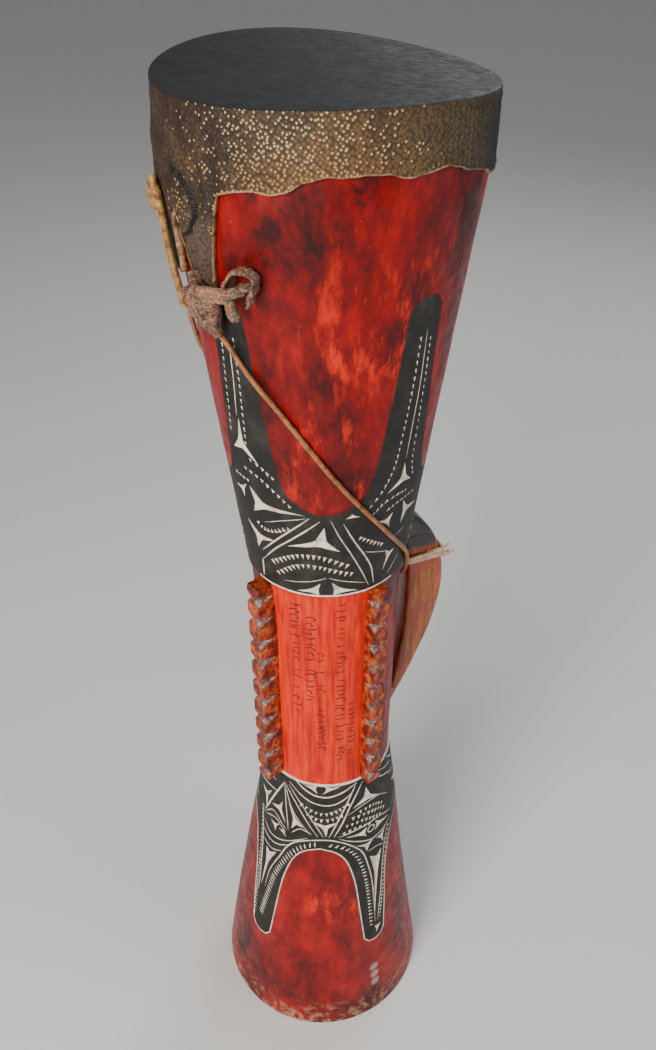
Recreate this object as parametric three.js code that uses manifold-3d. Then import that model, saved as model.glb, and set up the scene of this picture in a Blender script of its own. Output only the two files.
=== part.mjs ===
// A carved hourglass hand drum: one hollow log with a handle and two notched ribs,
// a lizard-skin head tied off in a knot, and a cane strap.
// Millimetres, +Z up the drum's axis, origin at the centre of the foot, +X towards the handle.
import * as THREE from 'three';
import { ConvexGeometry } from 'three/addons/geometries/ConvexGeometry.js';
import { mergeVertices } from 'three/addons/utils/BufferGeometryUtils.js';
import Module from 'manifold-3d';

const wasm = await Module();
wasm.setup();

// ---- Driving dimensions ----
const RIM_HEIGHT = 617; // mean height of the wooden rim
const WAIST_R = 39; // outside radius of the narrow waist
const RIM_R = 66.2; // outside radius of the wood under the skin
const LOWER_SLOPE = 0.139; // how fast the lower cone widens downwards
const UPPER_SLOPE = 0.1205; // how fast the upper cone widens upwards
const LOWER_CONE_TOP = 226; // heights where the two cones would meet the waist
const UPPER_CONE_FOOT = 358;
const BLEND = 12; // softness of those two meetings

const PANEL_FOOT = 231; // the waist between the two carved bands
const PANEL_TOP = 383;
const PANEL_RECESS = 1.2; // how far the waist is cut back at the bands' edges

const BORE_R = 24; // hollow inside: two cones and a straight bore
const FOOT_MOUTH_R = 63;
const RIM_MOUTH_R = 60;
const BORE_FOOT = 225;
const BORE_TOP = 365;
const FOOT_CHAMFER = 1.2;

const FOOT_DRIFT = 3.6; // the lower cone runs a little out of line with the axis
const FOOT_DRIFT_BEARING = 155.5;
const FOOT_DRIFT_TOP = 190;

const RIM_TILT = 2.2; // the rim is a little out of square, and slightly saddle shaped
const RIM_TILT_BEARING = 145.5;
const RIM_SADDLE = 2.3;
const RIM_SADDLE_BEARING = -88;
const RIM_WARP_FOOT = 560; // the warp of the rim dies out at this height

const RIB_WIDTH = 9;
const RIB_NOTCHES = 10;
const RIB_NOTCH_OPENING = 7;
const PANEL_BEARING = -120; // middle of the front panel, counterclockwise from the handle
const RIBS = [
  { bearing: PANEL_BEARING - 43.5, crest: 50.5 },
  { bearing: PANEL_BEARING + 43.5, crest: 46.5 },
];

const HANDLE_FOOT = 246; // where the handle grows out of the waist
const HANDLE_TOP = 394;
const HANDLE_REACH = 32; // furthest the handle stands off the wood
const HANDLE_WIDTH = 15;
const SLOT_FOOT = 262; // the finger slot behind the handle
const SLOT_TOP = 378;
const SLOT_DEPTH = 8.5;

const SKIN = 1.6; // thickness of the dried skin
const GAP = 0.3; // clearance between pieces that touch

const KNOT = { bearing: -156, height: 541.5, halfWidth: 13.5, halfHeight: 13.5, thickness: 12 };

const CANE = 2.8; // diameter of the cane strap
const LOOP_CANE = 4;
const STRAP_SLOT_HEIGHT = 354; // where the strap goes through the finger slot
const LASHING_FOOT = 360.5;
const LASHING_HEIGHT = 5;
const LASHING = 1.4;

const radians = THREE.MathUtils.degToRad;
const clamp = THREE.MathUtils.clamp;
const lerp = THREE.MathUtils.lerp;

// ---- The drum's form ----

const softRamp = (x) => Math.log1p(Math.exp(x));

// Outside radius of the hourglass at a height, before the panel is cut back.
function bodyRadius(z) {
  const lower = LOWER_SLOPE * BLEND * softRamp((LOWER_CONE_TOP - z) / BLEND);
  const upper = UPPER_SLOPE * BLEND * softRamp((z - UPPER_CONE_FOOT) / BLEND);
  return Math.min(WAIST_R + upper, RIM_R) + lower;
}

// Outside radius of the cut-back waist: the recess fades out towards the middle.
function waistRadius(z) {
  const middle = (PANEL_FOOT + PANEL_TOP) / 2;
  const share = Math.abs(z - middle) / (PANEL_TOP - middle);
  return bodyRadius(z) - PANEL_RECESS * share ** 2;
}

// Height of the warped rim above or below its mean, at a bearing in degrees.
function rimWarp(bearing) {
  const tilt = RIM_TILT * Math.cos(radians(bearing - RIM_TILT_BEARING));
  return tilt + RIM_SADDLE * Math.cos(2 * radians(bearing - RIM_SADDLE_BEARING));
}

// How far the lower cone's middle has drifted off the axis at a height.
const footDrift = (z) => FOOT_DRIFT * (1 - Math.min(1, z / FOOT_DRIFT_TOP) ** 2);

// A point on a circle about the drum's axis.
function around(bearing, radius, z) {
  const turn = radians(bearing);
  return new THREE.Vector3(radius * Math.cos(turn), radius * Math.sin(turn), z);
}

// A point standing off the wood's outside surface.
const offWood = (bearing, z, standOff) => around(bearing, bodyRadius(z) + standOff, z);

// ---- Between three.js geometry and closed solids ----

function toSolid(geometry) {
  const bare = new THREE.BufferGeometry();
  bare.setAttribute('position', geometry.getAttribute('position'));
  if (geometry.index) bare.setIndex(geometry.index);
  const merged = mergeVertices(bare, 1e-3);
  return new wasm.Manifold(
    new wasm.Mesh({
      numProp: 3,
      vertProperties: merged.getAttribute('position').array,
      triVerts: new Uint32Array(merged.index.array),
    }),
  );
}

function toGeometry(solid) {
  const mesh = solid.getMesh();
  const geometry = new THREE.BufferGeometry();
  geometry.setAttribute('position', new THREE.BufferAttribute(mesh.vertProperties, mesh.numProp));
  geometry.setIndex(new THREE.BufferAttribute(mesh.triVerts, 1));
  return geometry;
}

// A closed profile of [radius, height] pairs turned about +Z.
function turned(profile, segments) {
  const points = profile.map(([radius, z]) => new THREE.Vector2(radius, z));
  return new THREE.LatheGeometry(points, segments).rotateX(Math.PI / 2);
}

// Moves every vertex of a geometry by a function of its place.
function reshape(geometry, move) {
  const position = geometry.getAttribute('position');
  const point = new THREE.Vector3();
  for (let i = 0; i < position.count; i += 1) {
    point.fromBufferAttribute(position, i);
    move(point);
    position.setXYZ(i, point.x, point.y, point.z);
  }
  return geometry;
}

// A round bar of cane along points, with flat ends.
function caneAlong(points, diameter, steps, sides = 8) {
  const section = new THREE.Shape();
  for (let i = 0; i < sides; i += 1) {
    const turn = (i / sides) * 2 * Math.PI;
    const x = (diameter / 2) * Math.cos(turn);
    const y = (diameter / 2) * Math.sin(turn);
    if (i === 0) section.moveTo(x, y);
    else section.lineTo(x, y);
  }
  section.closePath();
  const extrudePath = new THREE.CatmullRomCurve3(points, false, 'centripetal');
  return new THREE.ExtrudeGeometry(section, { steps, extrudePath });
}

// ---- The carved log ----

function evenly(from, to, steps) {
  return Array.from({ length: steps + 1 }, (_, i) => lerp(from, to, i / steps));
}

function shell() {
  const lowerBell = evenly(FOOT_CHAMFER, PANEL_FOOT - 0.8, 10).map((z) => [bodyRadius(z), z]);
  const waist = evenly(PANEL_FOOT, PANEL_TOP, 10).map((z) => [waistRadius(z), z]);
  const upperBell = evenly(PANEL_TOP + 0.8, RIM_HEIGHT, 11).map((z) => [bodyRadius(z), z]);
  const inside = [
    [RIM_MOUTH_R, RIM_HEIGHT],
    ...evenly(BORE_TOP, RIM_HEIGHT, 3)
      .slice(1, 3)
      .reverse()
      .map((z) => [lerp(BORE_R, RIM_MOUTH_R, (z - BORE_TOP) / (RIM_HEIGHT - BORE_TOP)), z]),
    [BORE_R, BORE_TOP],
    [BORE_R, BORE_FOOT],
    [FOOT_MOUTH_R, 0],
  ];
  const foot = [bodyRadius(0) - FOOT_CHAMFER, 0];
  const log = turned([foot, ...lowerBell, ...waist, ...upperBell, ...inside, foot], 48);
  reshape(log, (point) => {
    const share = Math.max(0, (point.z - RIM_WARP_FOOT) / (RIM_HEIGHT - RIM_WARP_FOOT));
    point.z += rimWarp(THREE.MathUtils.radToDeg(Math.atan2(point.y, point.x))) * share;
    point.add(around(FOOT_DRIFT_BEARING, footDrift(point.z), 0));
  });
  return toSolid(log);
}

// One chip-carved rib: each notch is a pair of three-cornered chips, wide at the crest and
// running out at the root, that meet in the middle of the crest.
function rib({ bearing, crest }) {
  const root = WAIST_R - 4;
  const length = PANEL_TOP - PANEL_FOOT - 2;
  const middle = (PANEL_TOP + PANEL_FOOT) / 2;
  const bar = new THREE.BoxGeometry(crest - root, RIB_WIDTH, length);
  let carved = toSolid(bar.translate((crest + root) / 2, 0, middle));
  const pitch = length / RIB_NOTCHES;
  const above = crest + 0.5;
  const half = RIB_NOTCH_OPENING / 2;
  for (let i = 0; i < RIB_NOTCHES; i += 1) {
    const z = PANEL_FOOT + 1 + pitch * (i + 0.5);
    for (const side of [-1, 1]) {
      const edge = side * (RIB_WIDTH / 2 + 0.5);
      const chip = new ConvexGeometry([
        new THREE.Vector3(above, edge, z - half),
        new THREE.Vector3(above, edge, z + half),
        new THREE.Vector3(above, side * 0.2, z),
        new THREE.Vector3(WAIST_R + 1.5, edge, z),
      ]);
      carved = carved.subtract(toSolid(chip));
    }
  }
  return carved.rotate([0, 0, bearing]);
}

// The handle's outer and inner edges at a height, as distances from the drum's axis.
function handleOuter(z) {
  const share = clamp((z - HANDLE_FOOT) / (HANDLE_TOP - HANDLE_FOOT), 0, 1);
  return bodyRadius(z) + HANDLE_REACH * Math.sin(Math.PI * share ** 1.5) ** 0.6;
}

function handleInner(z) {
  const share = clamp((z - SLOT_FOOT) / (SLOT_TOP - SLOT_FOOT), 0, 1);
  return bodyRadius(z) + SLOT_DEPTH * Math.sin(Math.PI * share ** 1.3) ** 0.5;
}

// Extrudes an outline drawn as [distance from the axis, height] across the handle's radial plane.
function acrossHandle(outline, width, bevel = 0) {
  const shape = new THREE.Shape(outline.map(([x, z]) => new THREE.Vector2(x, z)));
  const geometry = new THREE.ExtrudeGeometry(shape, {
    depth: width - 2 * bevel,
    bevelEnabled: bevel > 0,
    bevelThickness: bevel,
    bevelSize: bevel,
    bevelOffset: -bevel,
    bevelSegments: 2,
    steps: 1,
  });
  return geometry.rotateX(Math.PI / 2).translate(0, width / 2 - bevel, 0);
}

function handle() {
  const root = WAIST_R - 6;
  const outer = evenly(HANDLE_FOOT, HANDLE_TOP, 22).map((z) => [handleOuter(z), z]);
  const blank = [[root, HANDLE_TOP], [root, HANDLE_FOOT], ...outer];
  const inner = evenly(SLOT_FOOT, SLOT_TOP, 14).map((z) => [handleInner(z), z]);
  const slot = [[root - 2, SLOT_TOP], [root - 2, SLOT_FOOT], ...inner];
  return toSolid(acrossHandle(blank, HANDLE_WIDTH, 2.2)).subtract(
    toSolid(acrossHandle(slot, HANDLE_WIDTH + 4)),
  );
}

function drumBody() {
  const bore = turned(
    [[0, BORE_FOOT], [BORE_R, BORE_FOOT], [BORE_R, BORE_TOP], [0, BORE_TOP]],
    48,
  );
  let body = shell().add(handle());
  for (const each of RIBS) body = body.add(rib(each));
  return toGeometry(body.subtract(toSolid(bore)));
}

// ---- The skin head ----

// A tab is a strip of skin left long at its bearing and drawn down towards the knot.
const TABS = [
  { bearing: -163, halfWidth: 11, foot: KNOT.height + KNOT.halfHeight + 0.8, drawn: 0 },
  { bearing: -192, halfWidth: 13, foot: KNOT.height + KNOT.halfHeight + 0.8, drawn: 0.22 },
];

const turnBetween = (a, b) => ((((a - b) % 360) + 540) % 360) - 180;

// Height of the skirt's cut edge at a bearing.
function skirtFoot(bearing) {
  const fromFront = bearing - PANEL_BEARING;
  const plain =
    587 +
    4 * Math.cos(radians(fromFront - 30)) +
    7 * Math.cos(2 * radians(fromFront - 22)) +
    1.2 * Math.sin(radians(fromFront) * 9) +
    0.8 * Math.sin(radians(fromFront) * 17 + 1);
  let foot = plain;
  for (const tab of TABS) {
    const away = Math.abs(turnBetween(bearing, tab.bearing)) / tab.halfWidth;
    const share = 1 - THREE.MathUtils.smoothstep(away, 0.75, 1.3);
    foot = Math.min(foot, lerp(plain, tab.foot, share));
  }
  return foot;
}

function skinHead() {
  const segments = 96;
  const under = RIM_HEIGHT + GAP;
  const top = under + SKIN;
  // Rows of the skirt are told apart by their height here, and hung in their real place below.
  const skirtRows = [0, 0.2, 0.45, 0.7, 0.88, 1];
  const inner = skirtRows.map((share) => [RIM_R + GAP, under - share]);
  const outer = [...skirtRows].reverse().map((share) => [RIM_R + GAP + SKIN, under - share]);
  const profile = [
    [0, under],
    [RIM_MOUTH_R - 2, under],
    ...inner,
    ...outer,
    [RIM_R + GAP + SKIN * 0.55, top - 0.25],
    [RIM_MOUTH_R - 2, top],
    [0, top],
  ];
  return reshape(turned(profile, segments), (point) => {
    const radius = Math.hypot(point.x, point.y);
    if (radius < 1) return;
    let bearing = THREE.MathUtils.radToDeg(Math.atan2(point.y, point.x));
    const rim = Math.max(point.z, under) + rimWarp(bearing);
    if (radius < RIM_R) {
      point.z = rim;
      return;
    }
    const share = clamp(under - point.z, 0, 1);
    const z = lerp(rim, skirtFoot(bearing), share);
    for (const tab of TABS) {
      const away = turnBetween(bearing, tab.bearing);
      if (Math.abs(away) < tab.halfWidth * 1.3) {
        const depth = clamp((592 - z) / (592 - tab.foot), 0, 1);
        bearing += turnBetween(KNOT.bearing, tab.bearing) * tab.drawn * depth;
        bearing -= away * 0.3 * depth;
      }
    }
    point.copy(around(bearing, bodyRadius(Math.min(z, RIM_HEIGHT)) + radius - RIM_R, z));
  });
}

// ---- The knot, the strap and the lashing ----

// Skin strips pulled through each other: a pouch that narrows downwards, with a wavy loose end.
function skinKnot() {
  const { bearing, height, halfWidth, halfHeight, thickness } = KNOT;
  const lean = Math.atan(UPPER_SLOPE);
  const lump = new THREE.SphereGeometry(1, 18, 12).rotateX(Math.PI / 2);
  reshape(lump, (point) => {
    const taper = lerp(0.4, 1, THREE.MathUtils.smoothstep(point.z, -1, 0.35));
    const crease = 1 + 0.06 * Math.sin(7 * point.y + 4 * point.z);
    point.set(
      (point.x * thickness * crease) / 2,
      point.y * halfWidth * taper * crease,
      point.z * halfHeight,
    );
  });
  lump.rotateY(lean).translate(bodyRadius(height) + thickness / 2 + 1, 0, height);

  // The loose end: a wavy ribbon on edge, drawn as [sideways, up] and stood out from the wood.
  const wave = (side) =>
    evenly(0, 1, 10).map((share) => {
      const swing = 3.2 * Math.sin(share * 2.2 * Math.PI);
      return new THREE.Vector2(8 + 15 * share, 11 + swing + side * (1.1 - 0.3 * share));
    });
  const outline = new THREE.Shape([...wave(-1), ...wave(1).reverse()]);
  const ribbon = new THREE.ExtrudeGeometry(outline, { depth: 8, bevelEnabled: false });
  const stand = bodyRadius(height) + 2.5;
  const axes = new THREE.Matrix4().makeBasis(
    new THREE.Vector3(0, 1, 0),
    new THREE.Vector3(0, 0, 1),
    new THREE.Vector3(1, 0, 0),
  );
  ribbon.applyMatrix4(axes).translate(stand, 0, height);
  return toGeometry(toSolid(lump).add(toSolid(ribbon)).rotate([0, 0, bearing]));
}

// The strap's route: from the knot's foot across the front, through the finger slot, and round
// the back up to the knot's side, as [bearing, height] stations.
const STRAP_ROUTE = [
  [-156, 524.5],
  [-146, 511],
  [-133.7, 496],
  [-109, 460],
  [-82, 427],
  [-61, 405],
  [-49, 393],
  [-25, 370],
  [-12, STRAP_SLOT_HEIGHT + 3],
  [0, STRAP_SLOT_HEIGHT],
  [12, STRAP_SLOT_HEIGHT + 3],
  [30, 368],
  [60, 394],
  [90, 420],
  [115, 447],
  [138, 477],
  [153, 500],
  [165, 518],
  [174, 528],
];

function caneStrap() {
  const inSlot = WAIST_R + GAP + CANE / 2 + 0.5;
  const points = STRAP_ROUTE.map(([bearing, z]) => {
    const radius = z < PANEL_TOP ? Math.max(inSlot, bodyRadius(z) + CANE / 2 + 0.4) : 0;
    return radius ? around(bearing, radius, z) : offWood(bearing, z, CANE / 2 + 0.5);
  });
  return caneAlong(points, CANE, 76);
}

// A doubled length of cane held against the side of the skin, with a thick bend at its top.
function caneLoop() {
  const standOff = GAP + SKIN + GAP + LOOP_CANE / 2 + 1.2;
  const stations = [
    [-179, 534],
    [-181.5, 549],
    [-182, 563],
    [-184, 578],
  ];
  const points = stations.map(([bearing, z]) => offWood(bearing, z, standOff));
  const bend = new THREE.SphereGeometry(1, 12, 8);
  const top = points.at(-1);
  bend.scale(2.7, 3.2, 6.5).translate(top.x, top.y, top.z);
  return toGeometry(toSolid(caneAlong(points, LOOP_CANE, 14)).add(toSolid(bend)));
}

// A band of fibre round the handle, with the ends of the fibres standing out of it.
function handleLashing() {
  const top = LASHING_FOOT + LASHING_HEIGHT;
  const sleeve = (clearance) => [
    [handleInner(LASHING_FOOT) - clearance, LASHING_FOOT],
    [handleOuter(LASHING_FOOT) + clearance, LASHING_FOOT],
    [handleOuter(top) + clearance, top],
    [handleInner(top) - clearance, top],
  ];
  const outside = acrossHandle(sleeve(GAP + LASHING), HANDLE_WIDTH + 2 * (GAP + LASHING));
  const bare = [
    [handleInner(LASHING_FOOT) - GAP, LASHING_FOOT - 1],
    [handleOuter(LASHING_FOOT) + GAP + 0.8, LASHING_FOOT - 1],
    [handleOuter(top) + GAP, top + 1],
    [handleInner(top) - GAP, top + 1],
  ];
  let band = toSolid(outside).subtract(toSolid(acrossHandle(bare, HANDLE_WIDTH + 2 * GAP)));
  const side = -(HANDLE_WIDTH / 2 + GAP + LASHING / 2);
  for (let i = 0; i < 3; i += 1) {
    const from = new THREE.Vector3(handleOuter(top) - 4, side, LASHING_FOOT + 0.9 + 1.5 * i);
    const to = new THREE.Vector3(71.5, side - 0.6 + 0.5 * i, LASHING_FOOT + 1.6 * i - 1);
    const middle = from.clone().lerp(to, 0.5);
    band = band.add(toSolid(caneAlong([from, middle, to], 1.2, 2, 6)));
  }
  return toGeometry(band);
}

// ---- Materials and the finished group ----

const redWood = new THREE.MeshStandardMaterial({ color: '#8c1512', roughness: 0.45 });
const driedSkin = new THREE.MeshStandardMaterial({ color: '#4a3c30', roughness: 0.7 });
const knotSkin = new THREE.MeshStandardMaterial({ color: '#8b7160', roughness: 0.8 });
const cane = new THREE.MeshStandardMaterial({ color: '#a8693c', roughness: 0.5 });
const fibre = new THREE.MeshStandardMaterial({ color: '#d9ab86', roughness: 0.7 });

const drum = new THREE.Group();

function piece(name, geometry, material) {
  const mesh = new THREE.Mesh(geometry, material);
  mesh.name = name;
  drum.add(mesh);
}

piece('drum_body', drumBody(), redWood);
piece('skin_head', skinHead(), driedSkin);
piece('skin_knot', skinKnot(), knotSkin);
piece('cane_strap', caneStrap(), cane);
piece('cane_loop', caneLoop(), cane);
piece('handle_lashing', handleLashing(), fibre);

export default drum;
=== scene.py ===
"""A carved hourglass hand drum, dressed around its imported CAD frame.

Lengths in this file are millimetres and angles are degrees unless a name says otherwise; meshes are
turned into metres as they are made. The wood is drawn flat, as if unrolled: s runs round the drum
from its front, z runs up its axis. Cuts, chips, teeth and painted areas are lines in that drawing,
and the drawing is triangulated, cut to depth and rolled back up.
"""
import math
import random

import bpy
import numpy as np
from mathutils import Matrix, Vector, noise
from mathutils.geometry import delaunay_2d_cdt


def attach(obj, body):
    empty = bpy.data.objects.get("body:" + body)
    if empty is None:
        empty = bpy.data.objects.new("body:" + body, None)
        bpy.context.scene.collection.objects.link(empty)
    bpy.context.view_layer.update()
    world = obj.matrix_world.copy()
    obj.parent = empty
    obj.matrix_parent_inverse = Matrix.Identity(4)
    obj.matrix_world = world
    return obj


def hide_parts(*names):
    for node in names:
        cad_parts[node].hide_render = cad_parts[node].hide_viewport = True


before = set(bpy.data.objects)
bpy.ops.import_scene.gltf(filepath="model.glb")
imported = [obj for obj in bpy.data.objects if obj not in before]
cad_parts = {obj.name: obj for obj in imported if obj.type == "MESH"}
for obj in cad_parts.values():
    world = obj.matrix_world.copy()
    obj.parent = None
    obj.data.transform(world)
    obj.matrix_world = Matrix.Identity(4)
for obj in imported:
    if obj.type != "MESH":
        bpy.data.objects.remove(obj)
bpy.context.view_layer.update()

MM = 0.001
BODY = "root"

# ---- The drum's form, as in the CAD frame ----
RIM_HEIGHT = 617.0
WAIST_R = 39.0
RIM_R = 66.2
LOWER_SLOPE = 0.139
UPPER_SLOPE = 0.1205
LOWER_CONE_TOP = 226.0
UPPER_CONE_FOOT = 358.0
BLEND = 12.0
PANEL_FOOT = 231.0
PANEL_TOP = 383.0
PANEL_RECESS = 1.2
STEP = 0.8
BORE_R = 24.0
FOOT_MOUTH_R = 63.0
RIM_MOUTH_R = 60.0
BORE_FOOT = 225.0
BORE_TOP = 365.0
FOOT_CHAMFER = 1.2
FOOT_DRIFT = 3.6
FOOT_DRIFT_BEARING = 155.5
FOOT_DRIFT_TOP = 190.0
RIM_TILT = 2.2
RIM_TILT_BEARING = 145.5
RIM_SADDLE = 2.3
RIM_SADDLE_BEARING = -88.0
RIM_WARP_FOOT = 560.0
RIB_WIDTH = 9.0
RIB_NOTCHES = 10
RIB_NOTCH_OPENING = 7.0
HANDLE_FOOT = 246.0
HANDLE_TOP = 394.0
HANDLE_REACH = 32.0
HANDLE_WIDTH = 15.0
SLOT_FOOT = 262.0
SLOT_TOP = 378.0
SLOT_DEPTH = 8.5
SKIN = 1.6
GAP = 0.3
CANE = 2.8
STRAP_SLOT_HEIGHT = 354.0

# ---- Bearings, counterclockwise from the handle ----
FRONT = -114.5  # the side that the camera faces: s = 0 in the flat drawing
PANEL = -120.0
KNOT = -156.0
RIB_BEARINGS = ((PANEL - 43.5, 50.5), (PANEL + 43.5, 46.5))

# ---- Camera ----
CAMERA_AZIMUTH = -24.5
CAMERA_DISTANCE = 399.9
CAMERA_HEIGHT = 700.6
CAMERA_PITCH = 37.2
CAMERA_LENS = 32.67
CAMERA_ASIDE = 0.74


def soft_ramp(x):
    return math.log1p(math.exp(x)) if x < 40 else x


def body_radius(z):
    lower = LOWER_SLOPE * BLEND * soft_ramp((LOWER_CONE_TOP - z) / BLEND)
    upper = UPPER_SLOPE * BLEND * soft_ramp((z - UPPER_CONE_FOOT) / BLEND)
    return min(WAIST_R + upper, RIM_R) + lower


def waist_radius(z):
    middle = (PANEL_FOOT + PANEL_TOP) / 2
    share = min(1.0, abs(z - middle) / (PANEL_TOP - middle))
    return body_radius(z) - PANEL_RECESS * share**2


def wood_radius(z):
    """Outside radius of the wood, with the waist cut back between the two bands."""
    if PANEL_FOOT <= z <= PANEL_TOP:
        return waist_radius(z)
    past = z - PANEL_TOP if z > PANEL_TOP else PANEL_FOOT - z
    share = min(1.0, past / STEP)
    return body_radius(z) - PANEL_RECESS * (1 - share)


def rim_warp(bearing):
    tilt = RIM_TILT * math.cos(math.radians(bearing - RIM_TILT_BEARING))
    return tilt + RIM_SADDLE * math.cos(2 * math.radians(bearing - RIM_SADDLE_BEARING))


def smoothstep(x, low, high):
    t = min(1.0, max(0.0, (x - low) / (high - low)))
    return t * t * (3 - 2 * t)


def lerp(a, b, t):
    return a + (b - a) * t


def turn_between(a, b):
    return (a - b + 540) % 360 - 180


def around(bearing, radius, z):
    turn = math.radians(bearing)
    return Vector((radius * math.cos(turn), radius * math.sin(turn), z))


def ripple(point, size, seed=0.0):
    """Smooth noise from -1 to 1 whose bumps are about `size` across."""
    return noise.noise(Vector(point) / size + Vector((seed * 7.3, seed * 3.1, seed)))


# ---- Meshes and objects ----


def make_object(name, verts, faces, materials, finishes=None):
    mesh = bpy.data.meshes.new(name)
    mesh.from_pydata([tuple(c * MM for c in v) for v in verts], [], faces)
    for material in materials:
        mesh.materials.append(material)
    if finishes is not None:
        mesh.polygons.foreach_set("material_index", np.asarray(finishes, dtype=np.int32))
    mesh.polygons.foreach_set("use_smooth", np.ones(len(mesh.polygons), dtype=bool))
    mesh.update()
    obj = bpy.data.objects.new(name, mesh)
    bpy.context.scene.collection.objects.link(obj)
    return obj


def apply_modifiers(obj):
    bpy.context.view_layer.update()
    graph = bpy.context.evaluated_depsgraph_get()
    mesh = bpy.data.meshes.new_from_object(obj.evaluated_get(graph))
    obj.modifiers.clear()
    obj.data = mesh
    return obj


def stand_for(obj, slot, *nodes):
    """Puts a finished piece in the frame, in place of its CAD nodes."""
    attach(obj, BODY)
    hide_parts(*nodes)


def smooth_line(points, step):
    """A Catmull-Rom curve through points of any dimension, with samples about `step` apart."""
    points = [np.array(p, dtype=float) for p in points]
    ends = [2 * points[0] - points[1], *points, 2 * points[-1] - points[-2]]
    line = [points[0]]
    for before, a, b, after in zip(ends, ends[1:], ends[2:], ends[3:]):
        count = max(1, round(float(np.linalg.norm(b - a)) / step))
        for i in range(1, count + 1):
            t = i / count
            line.append(
                0.5
                * (
                    2 * a
                    + (b - before) * t
                    + (2 * before - 5 * a + 4 * b - after) * t**2
                    + (3 * a - before - 3 * b + after) * t**3
                )
            )
    return line


# ---- Materials ----


class Finish:
    """A material with a principled shader. Its colour is laid on in layers, the lowest first."""

    def __init__(self, name, roughness=0.6, specular=0.5, coat=0.0):
        self.material = bpy.data.materials.new(name)
        self.material.use_nodes = True
        self.tree = self.material.node_tree
        self.shader = self.tree.nodes["Principled BSDF"]
        self.shader.inputs["Roughness"].default_value = roughness
        self.shader.inputs["Specular IOR Level"].default_value = specular
        self.shader.inputs["Coat Weight"].default_value = coat
        self.shader.inputs["Coat Roughness"].default_value = 0.25
        self.place = self.node("ShaderNodeTexCoord").outputs["Object"]
        self.axes = self.node("ShaderNodeSeparateXYZ", self.place).outputs
        self.base = None

    def join(self, source, target):
        if isinstance(source, bpy.types.NodeSocket):
            self.tree.links.new(source, target)
        else:
            target.default_value = source

    def node(self, kind, *values, **settings):
        """Adds a node, with values or links for its first inputs in their order."""
        node = self.tree.nodes.new(kind)
        for key, value in settings.items():
            setattr(node, key, value)
        for socket, value in zip(node.inputs, values):
            self.join(value, socket)
        return node

    def noise(self, size, detail=4.0, rough=0.55, stretch=(1, 1, 1), seed=0.0):
        """Noise whose lumps are about `size` millimetres across."""
        place = self.node("ShaderNodeMapping", self.place)
        place.inputs["Scale"].default_value = stretch
        node = self.node("ShaderNodeTexNoise", place.outputs[0], noise_dimensions="4D")
        values = {"W": seed, "Scale": 1 / (size * MM), "Detail": detail, "Roughness": rough}
        for name, value in values.items():
            node.inputs[name].default_value = value
        return node.outputs["Fac"]

    def math(self, operation, *values):
        return self.node("ShaderNodeMath", *values, operation=operation).outputs[0]

    def times(self, a, b):
        return self.math("MULTIPLY", a, b)

    def span(self, value, low, high, to_low=0.0, to_high=1.0):
        """Remaps low..high to to_low..to_high, clamped."""
        values = (value, low, high, to_low, to_high)
        node = self.node("ShaderNodeMapRange", *values, interpolation_type="SMOOTHSTEP")
        return node.outputs["Result"]

    def near(self, point, radius, soft):
        """1 inside a ball about a point (millimetres), 0 outside, with a soft and broken edge."""
        middle = tuple(c * MM for c in point)
        away = self.node("ShaderNodeVectorMath", self.place, middle, operation="DISTANCE").outputs["Value"]
        ragged = self.times(self.noise(radius * 0.5, 3), radius * MM)
        distance = self.math("ADD", away, self.math("SUBTRACT", ragged, radius * MM / 2))
        return self.span(distance, (radius - soft) * MM, (radius + soft) * MM, 1.0, 0.0)

    def ramp(self, value, stops, *colours):
        node = self.node("ShaderNodeValToRGB", value)
        elements = node.color_ramp.elements
        while len(elements) < len(stops):
            elements.new(0.5)
        for element, position, colour in zip(elements, stops, colours):
            element.position = position
            element.color = (*colour, 1)
        return node.outputs["Color"]

    def mix(self, share, a, b):
        node = self.node("ShaderNodeMix", share, data_type="RGBA")
        for colour, socket in ((a, node.inputs[6]), (b, node.inputs[7])):
            self.join((*colour, 1) if isinstance(colour, tuple) else colour, socket)
        return node.outputs[2]

    def under(self, value, stops, *colours):
        """Lays the lowest colours, by a value, from one stop to the next."""
        self.base = self.ramp(value, stops, *colours)

    def over(self, share, colour, amount=1.0):
        """Lays a colour over what is there, as thickly as `share` says."""
        self.base = self.mix(self.times(share, amount), self.base, colour)

    def roughness(self, value, low, high, to_low, to_high):
        self.join(self.span(value, low, high, to_low, to_high), self.shader.inputs["Roughness"])

    def done(self, *bumps):
        """The finished material, with bumps of (height, depth in millimetres) added up."""
        self.join(self.base, self.shader.inputs["Base Color"])
        normal = None
        for height, depth in bumps:
            bump = self.node("ShaderNodeBump")
            bump.inputs["Strength"].default_value = 1.0
            bump.inputs["Distance"].default_value = depth * MM
            self.join(height, bump.inputs["Height"])
            if normal is not None:
                self.join(normal, bump.inputs["Normal"])
            normal = bump.outputs["Normal"]
        if normal is not None:
            self.join(normal, self.shader.inputs["Normal"])
        return self.material


CRIMSON = (0.052, 0.0006, 0.0016)
DEEP_RED = (0.190, 0.0010, 0.0012)
BRIGHT_RED = (0.400, 0.0030, 0.0010)
ORANGE_RED = (0.780, 0.0240, 0.0010)
SMUDGE = (0.008, 0.0025, 0.0030)


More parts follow.
